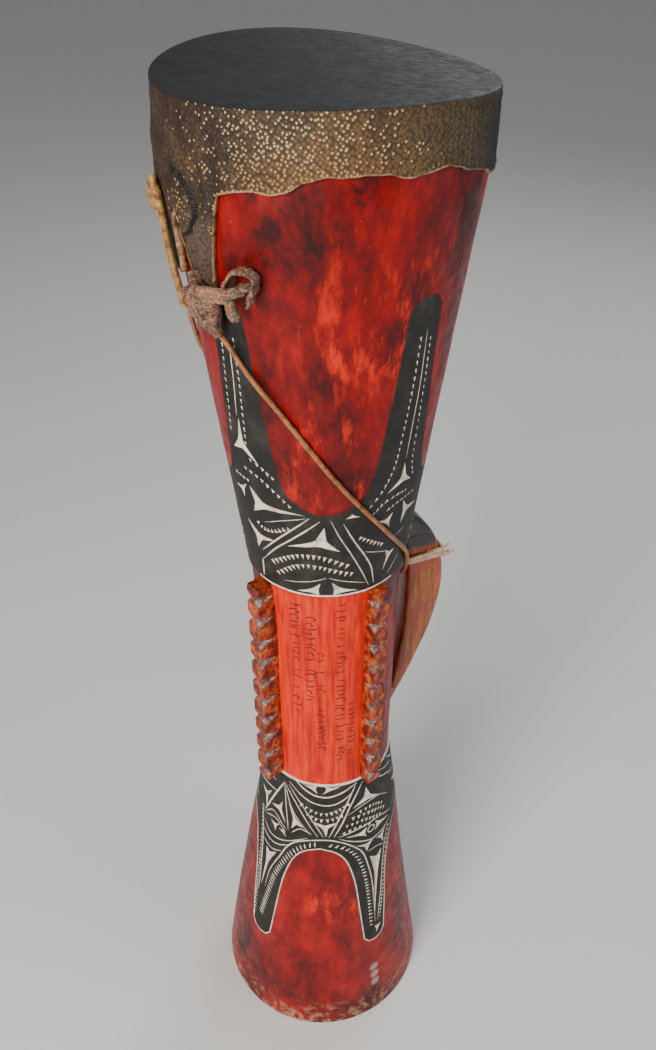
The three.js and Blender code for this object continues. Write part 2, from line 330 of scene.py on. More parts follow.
def red_paint():
    """Thick crimson over brighter orange-red, rubbed through in patches and smudged near the skin."""
    f = Finish("red_paint", roughness=0.4, specular=0.28)
    tone = f.noise(26, 6, 0.62, stretch=(1, 1, 0.55), seed=1)
    fine = f.noise(3.2, 5, 0.65, stretch=(1, 1, 0.5), seed=2)
    tone = f.math("ADD", f.times(tone, 0.78), f.times(fine, 0.22))
    f.under(tone, (0.38, 0.50, 0.64), CRIMSON, DEEP_RED, BRIGHT_RED)
    worn = f.span(f.noise(9, 7, 0.7, stretch=(1, 1, 0.32), seed=3), 0.50, 0.66)
    high = f.near(around(FRONT + 26, 62, 535), 34, 26)
    middle = f.near(around(FRONT + 6, 56, 470), 26, 22)
    low = f.near(around(FRONT, 60, 120), 24, 26)
    bright = f.math("MAXIMUM", f.math("MAXIMUM", high, low), middle)
    f.over(f.times(worn, f.math("MULTIPLY_ADD", bright, 0.85, 0.10)), ORANGE_RED)
    dark = f.span(f.noise(15, 6, 0.7, stretch=(1, 1, 0.8), seed=4), 0.50, 0.68)
    near_skin = f.span(f.axes["Z"], 0.520, 0.600)
    f.over(f.times(dark, f.math("MULTIPLY_ADD", near_skin, 0.75, 0.22)), SMUDGE)
    f.over(f.span(f.noise(1.6, 4, 0.7, seed=5), 0.66, 0.72), (0.55, 0.30, 0.26), 0.35)
    for height in (30, 38, 46):
        scar = around(FRONT + 35, body_radius(height), height) + around(FOOT_DRIFT_BEARING, FOOT_DRIFT, 0)
        f.over(f.near(scar, 3.2, 1.6), (0.44, 0.33, 0.27), 0.75)
    bare = f.times(f.span(f.axes["Z"], 0.030, 0.002), f.span(f.noise(6, 5, 0.7, seed=6), 0.48, 0.62))
    f.over(bare, (0.45, 0.24, 0.13), 0.8)
    f.roughness(f.noise(7, 4, 0.6, seed=7), 0.3, 0.7, 0.34, 0.55)
    brushed = f.noise(9, 4, 0.5, stretch=(1, 1, 0.35), seed=8)
    return f.done((brushed, 0.5), (f.noise(1.3, 4, 0.6, seed=9), 0.08))


def panel_paint():
    """Brighter orange-red on the front panel, brushed up and down."""
    f = Finish("panel_paint", roughness=0.45, specular=0.2)
    brushed = f.noise(2.6, 6, 0.65, stretch=(1, 1, 0.07), seed=11)
    f.under(brushed, (0.34, 0.5, 0.66), (0.40, 0.003, 0.001), (0.70, 0.018, 0.001), (0.85, 0.060, 0.002))
    patches = f.noise(14, 5, 0.6, stretch=(1, 1, 0.4), seed=12)
    f.over(f.span(patches, 0.52, 0.68), (0.36, 0.008, 0.003), 0.5)
    grubby = f.noise(5, 6, 0.75, stretch=(1, 1, 0.6), seed=14)
    f.over(f.span(grubby, 0.58, 0.72), (0.14, 0.004, 0.002), 0.55)
    return f.done((brushed, 0.25), (f.noise(0.9, 3, seed=13), 0.05))


def black_paint():
    """Charcoal black, dusty, with a brown cast where it is thin."""
    f = Finish("black_paint", roughness=0.62, specular=0.35)
    tone = f.noise(9, 6, 0.65, stretch=(1, 1, 0.6), seed=21)
    f.under(tone, (0.36, 0.52, 0.70), (0.006, 0.0055, 0.005), (0.015, 0.0135, 0.0115), (0.040, 0.035, 0.028))
    rubbed = f.noise(1.8, 5, 0.7, stretch=(1, 1, 0.45), seed=22)
    f.over(f.span(rubbed, 0.60, 0.74), (0.17, 0.14, 0.11), 0.5)
    return f.done((f.noise(2.2, 5, 0.6, stretch=(1, 1, 0.35), seed=23), 0.22))


def lime():
    """Lime rubbed into the cuts, creamy, with dirt in it."""
    f = Finish("lime", roughness=0.85, specular=0.2)
    tone = f.noise(3.5, 5, 0.7, seed=31)
    f.under(tone, (0.30, 0.44, 0.62), (0.36, 0.27, 0.19), (0.68, 0.58, 0.46), (0.86, 0.79, 0.67))
    return f.done((f.noise(0.8, 4, 0.7, seed=32), 0.12))


def ink():
    f = Finish("ink", roughness=0.5)
    faded = f.span(f.noise(1.4, 3, seed=41), 0.50, 0.75)
    f.base = f.mix(faded, (0.010, 0.002, 0.002), (0.15, 0.008, 0.004))
    return f.done()


def bare_wood():
    """The unpainted inside and foot: dark with smoke and age, adzed up and down."""
    f = Finish("bare_wood", roughness=0.8, specular=0.25)
    grain = f.noise(3, 6, 0.65, stretch=(1, 1, 0.08), seed=51)
    f.under(grain, (0.35, 0.5, 0.68), (0.040, 0.020, 0.011), (0.11, 0.060, 0.033), (0.21, 0.125, 0.070))
    return f.done((grain, 0.4), (f.noise(11, 3, stretch=(1, 1, 0.3), seed=52), 0.8))


def handle_wood():
    """The handle: orange-brown where hands have worn it, black near its top."""
    f = Finish("handle_wood", roughness=0.34, specular=0.5, coat=0.2)
    grain = f.noise(2.2, 6, 0.7, stretch=(1, 1, 0.10), seed=61)
    f.under(grain, (0.34, 0.5, 0.68), (0.09, 0.016, 0.004), (0.34, 0.075, 0.010), (0.56, 0.17, 0.024))
    f.over(f.span(f.noise(12, 4, seed=62), 0.46, 0.62), (0.33, 0.020, 0.010), 0.6)
    ragged = f.math("ADD", f.axes["Z"], f.times(f.noise(8, 3, seed=63), 0.012))
    f.over(f.span(ragged, 0.371, 0.379), (0.020, 0.018, 0.016))
    return f.done((grain, 0.2), (f.noise(10, 3, seed=64), 0.5))


def rib_wood():
    """The crests of the ribs: orange-brown, rubbed."""
    f = Finish("rib_wood", roughness=0.45, specular=0.35)
    tone = f.noise(5, 6, 0.75, stretch=(1, 1, 0.7), seed=71)
    browns = ((0.030, 0.002, 0.001), (0.16, 0.010, 0.003), (0.42, 0.060, 0.006), (0.62, 0.19, 0.030))
    f.under(tone, (0.36, 0.47, 0.56, 0.66), *browns)
    return f.done((f.noise(1.5, 5, 0.6, seed=72), 0.25))


def notch_cut():
    """The notches' cut faces: pale, chalky, greyish, with red left low down."""
    f = Finish("notch_cut", roughness=0.8, specular=0.25)
    tone = f.noise(3, 5, 0.7, seed=81)
    f.under(tone, (0.36, 0.48, 0.66), (0.10, 0.010, 0.006), (0.17, 0.10, 0.09), (0.46, 0.39, 0.35))
    return f.done((f.noise(1.2, 5, 0.6, seed=82), 0.2))


# ---- The flat drawing of the carving ----

ROUND = 45.0  # the drawing is laid on a cylinder of this radius to be triangulated
SEAM = 199.8  # bearing from the front at which the drawing is cut open; no cut crosses it
RED, PANEL_RED, BLACK, LIME, INK, BARE, HANDLE, RIB, NOTCH = range(9)


class Drawing:
    """Cuts in the wood as constrained points, edges and triangular cells with a depth at each point."""

    def __init__(self):
        self.points = []
        self.edges = []
        self.cells = []
        self.turn = 0.0  # bearing of s = 0, from the front

    def point(self, s, z, depth=0.0):
        across = (s / body_radius(z) + math.radians(self.turn)) * ROUND
        self.points.append((across, z, depth))
        return len(self.points) - 1

    def chain(self, ids, closed=False):
        self.edges += zip(ids, ids[1:])
        if closed:
            self.edges.append((ids[-1], ids[0]))

    def line(self, points, width=0.9, depth=0.4, finish=LIME, step=2.4, blunt=False):
        """A V-shaped cut along a curve, running out at both ends unless it is blunt."""
        path = smooth_line(points, step)
        last = len(path) - 1
        left, middle, right = [], [], []
        for i, here in enumerate(path):
            along = path[min(i + 1, last)] - path[max(i - 1, 0)]
            side = np.array((-along[1], along[0])) / max(1e-6, float(np.linalg.norm(along)))
            swell = 1.0 if blunt else min(1.0, 0.22 + 4.0 * min(i, last - i) / last)
            half = side * width / 2 * swell
            left.append(self.point(*(here + half)))
            middle.append(self.point(*here, depth * swell))
            right.append(self.point(*(here - half)))
        self.chain(left)
        self.chain(middle)
        self.chain(right)
        for end in (0, last):
            self.chain((left[end], middle[end], right[end]))
        for i in range(last):
            for near, far in ((left, middle), (middle, right)):
                self.cells.append((near[i], near[i + 1], far[i + 1], finish))
                self.cells.append((near[i], far[i + 1], far[i], finish))

    def chip(self, corners, depth=0.9, pinch=0.3, finish=LIME, centre=None):
        """A chip cut down from its edges to one deep point, its sides drawn in by `pinch`."""
        corners = [np.array(c, dtype=float) for c in corners]
        centre = sum(corners) / len(corners) if centre is None else np.array(centre, dtype=float)
        rim = []
        for a, b in zip(corners, corners[1:] + corners[:1]):
            rim.append(a)
            if pinch:
                for t in (0.2, 0.4, 0.6, 0.8):
                    rim.append(lerp(lerp(a, b, t), centre, 4 * t * (1 - t) * min(0.56, 1.3 * pinch)))
        ids = [self.point(*p) for p in rim]
        deep = self.point(*centre, depth)
        self.chain(ids, closed=True)
        for a, b in zip(ids, ids[1:] + ids[:1]):
            self.cells.append((a, b, deep, finish))
            self.edges.append((a, deep))

    def teeth(self, points, pitch, length, base, depth=0.55, lean=0.0):
        """A row of three-cornered nicks along a curve, their points to its left."""
        path = smooth_line(points, pitch)
        for a, b in zip(path, path[1:]):
            along = (b - a) / max(1e-6, float(np.linalg.norm(b - a)))
            side = np.array((-along[1], along[0]))
            root = (a + b) / 2
            size = random.uniform(0.85, 1.12)
            tip = root + side * length * size + along * lean
            half = along * base * size / 2
            self.chip((root - half, root + half, tip), depth, pinch=0)

    def border(self, points, closed=False):
        """A bare edge between two paints."""
        self.chain([self.point(*p) for p in points], closed)

    def ring(self, s, z, radius, width=0.7, depth=0.35):
        turns = [math.radians(15 * i) for i in range(25)]
        circle = [(s + radius * math.cos(t), z + radius * math.sin(t)) for t in turns]
        self.line(circle, width, depth, blunt=True)


# Half of each red field between two legs of the black bands, as (half-width, height).
UPPER_FIELD = (
    (0, 439.5), (6, 440.5), (12, 443.5), (17.5, 448.5), (21, 456),
    (24, 469), (26.5, 484), (31, 512), (35, 540),
)
LOWER_FIELD = ((0, 176), (7, 174), (13, 169.5), (18, 161.5), (22, 150), (25.5, 136), (29.5, 112), (34.5, 81))
FIELDS = ((0, 1.0), (90, 1.2), (180, 1.0), (270, 1.2))  # bearing from the front, and how much wider
LOWER_SHIFT = -4.5  # the lower band is carved a little to the left of the upper one
UPPER_LEG_TIP = 546.0
LOWER_LEG_TIP = 75.0


def field_edges(field, tip, shift):
    """The whole edge of a band's legs, once round the drum, as (bearing from the front, height)."""
    edge = []
    for bearing, wider in FIELDS:
        half = [(math.degrees(w * wider / body_radius(z)), z) for w, z in smooth_line(field, 3.0)]
        for angle, z in reversed(half):
            edge.append((bearing - angle + shift, z))
        for angle, z in half[1:]:
            edge.append((bearing + angle + shift, z))
        following = 90 * FIELDS.index((bearing, wider)) + 90
        reach = half[-1][0]
        next_reach = math.degrees(field[-1][0] * (2.2 - wider) / body_radius(field[-1][1]))
        for t in (0.2, 0.5, 0.8):
            angle = lerp(bearing + reach, following - next_reach, t)
            edge.append((angle + shift, lerp(field[-1][1], tip, (4 * t * (1 - t)) ** 0.5)))
    return edge


UPPER_EDGE = field_edges(UPPER_FIELD, UPPER_LEG_TIP, 0.0)
LOWER_EDGE = field_edges(LOWER_FIELD, LOWER_LEG_TIP, LOWER_SHIFT)


def edge_height(edge, bearing):
    """Height of a band's leg edge at a bearing from the front."""
    low = edge[0][0]
    bearing = (bearing - low) % 360 + low
    angles = [a for a, _ in edge] + [low + 360]
    heights = [z for _, z in edge] + [edge[0][1]]
    return float(np.interp(bearing, angles, heights))


def draw_edge(d, edge, white):
    """The edge between black and red all round, as a shallow cut, white for the lower band."""
    loop = [*edge, (edge[0][0] + 360, edge[0][1])]
    seam = next(i for i, (bearing, _) in enumerate(loop) if bearing > SEAM)
    for part, turn in ((loop[: seam - 1], 0), (loop[seam + 1 :], 360)):
        points = [(math.radians(a - turn) * body_radius(z), z) for a, z in part]
        d.line(points, 0.9 if white else 0.7, 0.35, LIME if white else RED, step=9, blunt=True)


def upper_front(d):
    """The middle of the upper band: an eye, two rows of teeth under a chip, and double lines."""
    d.line([(-40, 384.7), (-20, 384.6), (0, 384.5), (20, 384.6), (38, 384.9)], 1.3, 0.3, blunt=True, step=5)
    d.chip([(-15, 386.5), (-3, 393.5), (-3.6, 385)], 0.9, 0.25, centre=(-5.2, 388.6))
    d.chip([(16, 386.5), (2.6, 394), (3.4, 385)], 0.9, 0.25, centre=(5.0, 388.8))
    d.line([(0, 397.5), (-8, 394.5), (-22, 391)], 0.45, 0.25)
    d.line([(1, 397.5), (9, 394.5), (21, 390)], 0.45, 0.25)
    d.teeth([(14, 399.5), (-4, 406), (-16, 404.5), (-27, 395)], 2.9, 3.2, 1.9)
    d.teeth([(12, 405.5), (-2, 412.5), (-16, 411.5), (-30, 402)], 2.9, 3.2, 1.9)
    d.line([(-28, 406), (-19, 413), (-8, 415), (7, 412)], 0.4, 0.2, BLACK)
    d.line([(-24, 393.5), (-6, 400.5), (13, 395)], 0.4, 0.2, BLACK)
    d.chip([(-1, 431.5), (6.5, 415.5), (-19.5, 416.3)], 1.1, 0.42, centre=(-2, 421.5))
    d.line([(-35, 406), (-25, 418.5), (-17.5, 427), (-8, 437)], 0.9, 0.45)
    d.line([(-35, 399.5), (-26, 412), (-17, 421.5), (-3, 435.5)], 0.9, 0.45)
    d.line([(-35.5, 400), (-35.5, 387)], 0.9, 0.4)
    d.line([(2, 436), (6, 425.5), (11, 415), (17, 401), (22, 387.5)], 0.6, 0.35)
    d.line([(8, 433.5), (13, 422), (19, 410), (23, 400), (25, 387.5)], 0.8, 0.4)


def upper_corner(d):
    """Where a leg grows out of the upper band: chips, dashes, a row of teeth and two columns."""
    d.chip([(39.5, 461), (30, 446), (45.5, 448)], 1.0, 0.42, centre=(40, 451.5))
    d.chip([(25, 430.3), (34.5, 432), (33, 423)], 0.9, 0.35, centre=(31, 427.5))
    d.chip([(41.5, 436), (55, 427), (41, 421)], 0.9, 0.4, centre=(42.8, 429))
    d.chip([(31.5, 408), (37.5, 405.5), (30.5, 394)], 0.9, 0.35, centre=(33.5, 403.5))
    d.chip([(9, 436.5), (12, 439), (16, 436.5)], 0.5, 0.2)
    d.line([(40, 463), (42, 480), (44.5, 505), (45.5, 530)], 0.5, 0.3)
    for column in (
        [(20, 439.5), (28, 449.5), (33.5, 462), (37, 480), (40.5, 505), (42.5, 528)],
        [(47.5, 449), (45.5, 460), (46.5, 480), (48, 505), (48.5, 526)],
    ):
        d.teeth(column, 3.7, 1.0, 2.5, 0.4, lean=0.9)
    d.teeth([(22, 434.5), (28, 440), (35, 442), (43, 442)], 3.0, 1.2, 2.3, 0.4, lean=1.2)
    d.teeth([(30, 434.5), (38, 437), (50, 437)], 3.0, 1.2, 2.3, 0.4, lean=1.2)
    d.teeth([(30, 413.5), (22, 419.5), (16, 424)], 2.6, 2.4, 1.8)
    d.line([(19, 412.5), (32, 407)], 0.4, 0.25)
    d.line([(42, 398.5), (34, 389)], 0.4, 0.25)
    d.line([(45, 416), (37, 414.5)], 0.4, 0.25)


def upper_left(d):
    """The left corner has longer chips and three rows of dashes in place of the small chips."""
    d.chip([(-43, 485), (-49, 466), (-33, 462.5)], 1.0, 0.42, centre=(-44, 470.5))
    d.chip([(-52, 441), (-42.5, 446), (-45, 436.5)], 0.8, 0.35, centre=(-46, 441.5))
    d.chip([(-40.5, 446), (-38.5, 431), (-10, 438.3)], 1.0, 0.42, centre=(-35.5, 437))
    d.chip([(-45, 422), (-25.5, 417), (-38, 406.5)], 1.0, 0.42, centre=(-37, 414))
    d.teeth([(-16, 442), (-24, 449), (-33, 455), (-44, 457)], 3.2, 1.6, 2.3, 0.45, lean=-0.8)
    d.teeth([(-24, 457), (-32, 462), (-40, 464)], 3.4, 1.6, 2.3, 0.45, lean=-0.8)
    d.teeth([(-40, 449.5), (-52, 450)], 3.4, 1.6, 2.3, 0.45, lean=-0.8)
    d.teeth([(-38, 424.5), (-33, 421.5), (-26, 422.5), (-17, 428)], 2.7, 2.4, 1.8)
    d.line([(-32, 427), (-21, 432.5), (-9, 437)], 0.4, 0.22)
    d.line([(-44, 486), (-43.5, 505), (-44, 527)], 0.5, 0.3)
    d.teeth([(-39.5, 470), (-39.5, 490), (-40, 512), (-41, 528)], 3.7, 1.0, 2.5, 0.4, lean=0.9)
    d.teeth([(-50, 474), (-49, 490), (-48.5, 512), (-48, 526)], 3.7, 1.0, 2.5, 0.4, lean=0.9)


def lower_front(d):
    """The middle of the lower band: a smile under the panel, teeth, a chip and fanned lines."""
    d.line([(-21, 232), (-15, 226.5), (-8, 222), (0, 220.8), (9, 223.6), (19, 229)], 1.2, 0.5)
    d.line([(-24, 227), (-16, 219.5), (-8, 215), (2, 213.8), (10, 217), (17, 223.5)], 0.9, 0.4)
    d.chip([(-15, 229.5), (-5.5, 231), (-5.5, 223.5)], 0.7, 0.3)
    d.chip([(-1, 230.5), (9, 229.5), (-2.5, 223.5)], 0.7, 0.3)
    d.teeth([(14, 214), (4, 208.5), (-5, 207.3), (-17, 213)], 3.0, 3.2, 2.0)
    d.teeth([(10, 205.5), (2, 202.2), (-5, 202.0), (-13, 206)], 3.0, 3.2, 2.0)
    d.chip([(-10, 199.5), (6.5, 198.5), (-0.3, 186.5)], 1.1, 0.42, centre=(-1.2, 194.8))
    d.line([(-27, 223), (-20, 211), (-12, 197), (-5.5, 186)], 0.7, 0.35)
    d.line([(-24.5, 224), (-14, 208), (-6, 194), (-2, 186)], 0.7, 0.35)
    d.line([(18.5, 228.5), (11, 210), (5, 195), (1.5, 186)], 1.0, 0.45)
    d.line([(23, 227.5), (15, 211), (10, 198), (4.5, 186)], 1.0, 0.45)


def lower_right(d):
    """Right of the middle: four rows of teeth over an eye with chips about it."""
    for row in (
        [(42, 196.5), (31, 203), (20, 203)],
        [(44, 191.5), (30, 198.5), (15, 200)],
        [(40, 189), (25, 194.5), (11, 194.5)],
        [(31, 188), (20, 190.5), (9, 188.5)],
    ):
        d.teeth(row, 3.4, 2.6, 2.1)
    d.chip([(25.5, 221), (40, 204), (16.5, 207.5)], 1.0, 0.42, centre=(26.5, 212.5))
    d.line([(13, 203), (24, 207), (36, 206), (48, 198)], 0.6, 0.3)
    d.line([(29, 227), (40, 219), (52, 212)], 0.9, 0.4)
    d.line([(31, 229.5), (43, 223), (54, 218)], 0.7, 0.35)
    d.line([(7, 185.5), (20, 188), (36, 188), (54, 180)], 0.8, 0.4)
    d.line([(8, 184), (19, 178), (34, 172.5), (52, 175)], 0.8, 0.4)
    d.ring(30.5, 182.6, 2.6)
    d.chip([(12, 184), (27, 186), (27, 178.5)], 0.8, 0.32, centre=(24, 182.3))
    d.chip([(49, 179), (34, 186.5), (34, 178.5)], 0.8, 0.32, centre=(36.5, 182.3))
    d.chip([(20, 173.5), (33, 172), (28, 164.5)], 0.8, 0.35, centre=(29, 169.8))
    d.chip([(45, 173), (35.5, 170.5), (43.5, 161)], 0.8, 0.35, centre=(40.5, 168.5))
    d.line([(29, 163.5), (36, 163), (44, 159)], 0.6, 0.3)


def lower_left(d):
    """Left of the middle: fanned lenses with small chips, and bundled curves above the leg."""
    d.line([(-27.5, 224), (-38, 204), (-48, 184)], 1.2, 0.5)
    d.line([(-28, 222), (-27, 205), (-25.5, 184)], 0.6, 0.3)
    d.line([(-27.5, 222), (-22, 203), (-10, 187)], 0.6, 0.3)
    d.chip([(-25, 209), (-14.5, 191.5), (-23, 187.5)], 1.0, 0.42, centre=(-20.3, 195))
    d.chip([(-40, 196.5), (-30, 205), (-27.5, 189)], 1.0, 0.42, centre=(-32.5, 198.5))
    d.chip([(-53, 200), (-40, 206.5), (-46, 187)], 1.0, 0.42, centre=(-46.5, 198.5))
    d.line([(-58, 203.5), (-45, 208.5), (-33.5, 211)], 0.9, 0.4)
    d.line([(-60, 214), (-46, 218), (-35, 219.5)], 0.7, 0.35)
    d.line([(-47, 184), (-38, 191.5), (-27, 184)], 0.7, 0.35)
    d.line([(-47, 182.5), (-36, 187), (-27, 181)], 0.6, 0.3)
    d.chip([(-41, 182.5), (-32.5, 184.5), (-36, 176.5)], 0.7, 0.35)
    d.chip([(-33, 181), (-28.5, 183), (-27, 177.5)], 0.5, 0.25)
    d.line([(-48, 177), (-41, 171.5), (-31, 172.5), (-22, 177.5), (-12, 184)], 0.8, 0.4)
    d.line([(-49, 169), (-41, 165.8), (-33, 167), (-25, 172)], 0.8, 0.4)
    d.line([(-48, 161), (-39, 159.3), (-30.5, 163)], 0.8, 0.4)
    d.line([(-23, 184), (-17, 190), (-9.5, 188)], 0.7, 0.35)


def arch(d):
    """The arch's second white line, and the hatch between it and the edge."""
    hatch = 4.2
    white = [(-44.5, 120), (-40, 139), (-32, 157), (-24, 173), (-14, 181), (-1, 183.8)]
    white += [(9, 181), (18, 174), (25, 165), (29.5, 152), (33.5, 136), (36, 118), (38.5, 92)]
    d.line(white, 0.9, 0.4)
    right = [(0, 178.3), (8, 176), (14.5, 171), (20.5, 162), (24.5, 151), (28, 137), (31, 118), (34.3, 90)]
    d.teeth(right, 3.4, 2.8, 1.7, 0.5, lean=1.4)
    left = [(-46, 92), (-40.5, 112), (-34.5, 135), (-28.5, 150), (-21.5, 164), (-13, 174), (-4, 178.3)]
    left = smooth_line(left, 3.0)
    for here, following in zip(left, left[1:]):
        along = (following - here) / float(np.linalg.norm(following - here))
        out = np.array((-along[1], along[0])) * hatch
        d.line([here, here + out * 0.5 + along * 0.6, here + out + along * 1.6], 1.1, 0.4, step=9)


def lower_legs(d):
    """The two front legs: a long chip in each and columns of teeth down their edges."""
    d.chip([(-44, 156.5), (-34.5, 159), (-48.5, 118)], 1.1, 0.36, centre=(-41.5, 151.5))
    d.line([(-51, 184), (-48.5, 160), (-49.5, 130), (-51, 112)], 0.8, 0.4)
    d.teeth([(-52, 186), (-51, 160), (-52.5, 130), (-54.5, 105), (-57, 84)], 3.3, 3.0, 1.9, 0.5)
    d.chip([(31, 158), (41.5, 157), (37.8, 100)], 1.1, 0.36, centre=(37.5, 150))
    d.line([(47, 172), (43.5, 148), (42.5, 120), (40.5, 92)], 0.8, 0.4)
    d.teeth([(43, 92), (45, 120), (46, 148), (49.5, 172)], 3.3, 1.6, 2.1, 0.45)
    d.chip([(38, 88), (44, 87), (40, 80)], 0.6, 0.2)


def plain_upper(d):
    """Simpler carving for the sides and back of the upper band."""
    d.chip([(0, 431), (9, 415.5), (-9, 415.5)], 1.0, 0.42)
    d.teeth([(15, 400), (0, 406.5), (-15, 400)], 3.4, 3.2, 1.9)
    d.teeth([(15, 406), (0, 412.5), (-15, 406)], 3.4, 3.2, 1.9)
    d.chip([(-14, 388), (-3, 394), (-3.4, 386)], 0.8, 0.25)
    d.chip([(14, 388), (3, 394), (3.4, 386)], 0.8, 0.25)


def plain_corner(d):
    d.chip([(0, 466), (-9, 449), (9, 449)], 1.0, 0.42)
    d.line([(0, 466), (0, 495), (0, 528)], 0.5, 0.3)
    d.teeth([(-4, 470), (-4.5, 500), (-5, 526)], 4.2, 1.0, 2.5, 0.4, lean=0.9)
    d.teeth([(4, 470), (4.5, 500), (5, 526)], 4.2, 1.0, 2.5, 0.4, lean=0.9)
    d.chip([(-10, 436), (10, 436), (0, 424)], 0.9, 0.42)
    d.line([(-12, 390), (-7, 410), (-11, 434)], 0.7, 0.35)
    d.line([(12, 390), (7, 410), (11, 434)], 0.7, 0.35)


def plain_lower(d):
    d.line([(-13, 228), (0, 219), (13, 228)], 1.0, 0.4)
    d.teeth([(12, 212), (0, 208), (-12, 212)], 3.4, 3.0, 2.0)
    d.chip([(-8, 200), (8, 200), (0, 187)], 1.0, 0.42)
    d.line([(-13, 181), (0, 184), (13, 181)], 0.8, 0.4)


def plain_leg(d):
    d.chip([(-4, 158), (5, 158), (0, 100)], 1.0, 0.36, centre=(0, 150))
    d.chip([(-9, 196), (9, 196), (0, 180)], 0.9, 0.42)
    d.line([(-11, 228), (-4, 206), (-10, 186)], 0.7, 0.35)
    d.line([(11, 228), (4, 206), (10, 186)], 0.7, 0.35)
    d.teeth([(-6.5, 164), (-6, 130), (-5.5, 92)], 4.2, 1.6, 2.1, 0.45)
    d.teeth([(6.5, 92), (7, 130), (7.5, 164)], 4.2, 1.6, 2.1, 0.45)


def written_strokes(d):
    """Faded pen strokes up the panel, in rows; they spell nothing."""
    random.seed(5)
    for s, foot, top in ((-17, 290, 374), (-9, 300, 366), (-3, 262, 340), (8, 250, 376), (14, 256, 300)):
        z = top
        while z > foot:
            reach = random.uniform(1.6, 3.6)
            shift = s + random.uniform(-0.8, 0.8)
            kind = random.random()
            if kind < 0.35:
                stroke = [(-reach, random.uniform(-0.8, 0.8)), (reach, random.uniform(-0.8, 0.8))]
            elif kind < 0.6:
                stroke = [(-reach, 0), (0, 1.3), (reach * 0.8, -0.6), (0.4, -1.5)]
            elif kind < 0.8:
                stroke = [(reach, 1.2), (-reach * 0.2, -0.4), (-reach, 0.8)]
            if kind < 0.8:
                points = [(shift + across, z + up) for across, up in stroke]
                d.line(points, random.uniform(0.6, 1.0), 0.0, INK, step=1.0)
            z -= random.uniform(2.4, 5.2)


def draw_all():
    """The whole drawing: the front as carved, and plainer copies of it round the sides and back."""
    random.seed(3)
    d = Drawing()
    draw_edge(d, UPPER_EDGE, white=False)
    draw_edge(d, LOWER_EDGE, white=True)
    for cut in (upper_front, upper_corner, upper_left, lower_front, lower_right, lower_left):
        cut(d)
    arch(d)
    lower_legs(d)
    written_strokes(d)
    plain = [(turn, plain_upper, plain_lower) for turn in (-90, 90, 180)]
    plain += [(turn, plain_corner, plain_leg) for turn in (-139, 139)]
    for turn, upper, lower in plain:
        d.turn = turn
        upper(d)
        d.turn = turn + LOWER_SHIFT
        lower(d)
    return d


# ---- The carved log as a mesh ----

COLUMNS = 240  # steps round the drum
ROW = 3.2  # height of a step up the drum
CELL = 2.0  # size of the squares that cells are looked up in
CLEARANCE = 0.8  # least room between a plain point and a cut


class Lookup:
    """Finds which cell of a drawing a point is in, and how deep the wood is cut there."""

    def __init__(self, drawing):
        self.points = drawing.points
        self.squares = {}
        for cell in drawing.cells:
            corners = [self.points[i] for i in cell[:3]]
            low = [math.floor(min(c[k] for c in corners) / CELL) for k in (0, 1)]
            high = [math.floor(max(c[k] for c in corners) / CELL) for k in (0, 1)]
            for i in range(low[0], high[0] + 1):
                for j in range(low[1], high[1] + 1):
                    self.squares.setdefault((i, j), []).append(cell)

    def at(self, x, y, slack=1e-6):
        depth, finish = 0.0, None
        for a, b, c, kind in self.squares.get((math.floor(x / CELL), math.floor(y / CELL)), ()):
            (ax, ay, ad), (bx, by, bd), (cx, cy, cd) = self.points[a], self.points[b], self.points[c]
            area = (bx - ax) * (cy - ay) - (by - ay) * (cx - ax)
            if abs(area) < 1e-9:
                continue
            v = ((x - ax) * (cy - ay) - (y - ay) * (cx - ax)) / area
            w = ((bx - ax) * (y - ay) - (by - ay) * (x - ax)) / area
            if min(v, w, 1 - v - w) < -slack:
                continue
            here = ad * (1 - v - w) + bd * v + cd * w
            if finish is None or here > depth:
                depth, finish = max(here, depth), kind
        return depth, finish


def finish_at(bearing_from_front, z):
    """What the uncut surface is painted, at a bearing from the front and a height."""
    panel = PANEL - FRONT
    if PANEL_FOOT <= z <= PANEL_TOP:
        return PANEL_RED if abs(turn_between(bearing_from_front, panel)) < 37.5 else RED
    if PANEL_TOP < z < PANEL_TOP + STEP or PANEL_FOOT - STEP < z < PANEL_FOOT:
        return LIME
    if z > PANEL_TOP:
        return BLACK if z < edge_height(UPPER_EDGE, bearing_from_front) else RED
    return BLACK if z > edge_height(LOWER_EDGE, bearing_from_front) else RED


def tool_marks(bearing, z):
    """Slight hollows left by the adze and by wear, in millimetres."""
    p = around(bearing, 50, z * 0.45)
    return 0.22 * ripple(p, 11, 1) + 0.10 * ripple(around(bearing, 50, z), 4.5, 2)


def seam_places():
    """Both sides of the seam across the flat drawing."""
    return math.radians(SEAM - 360) * ROUND, math.radians(SEAM) * ROUND


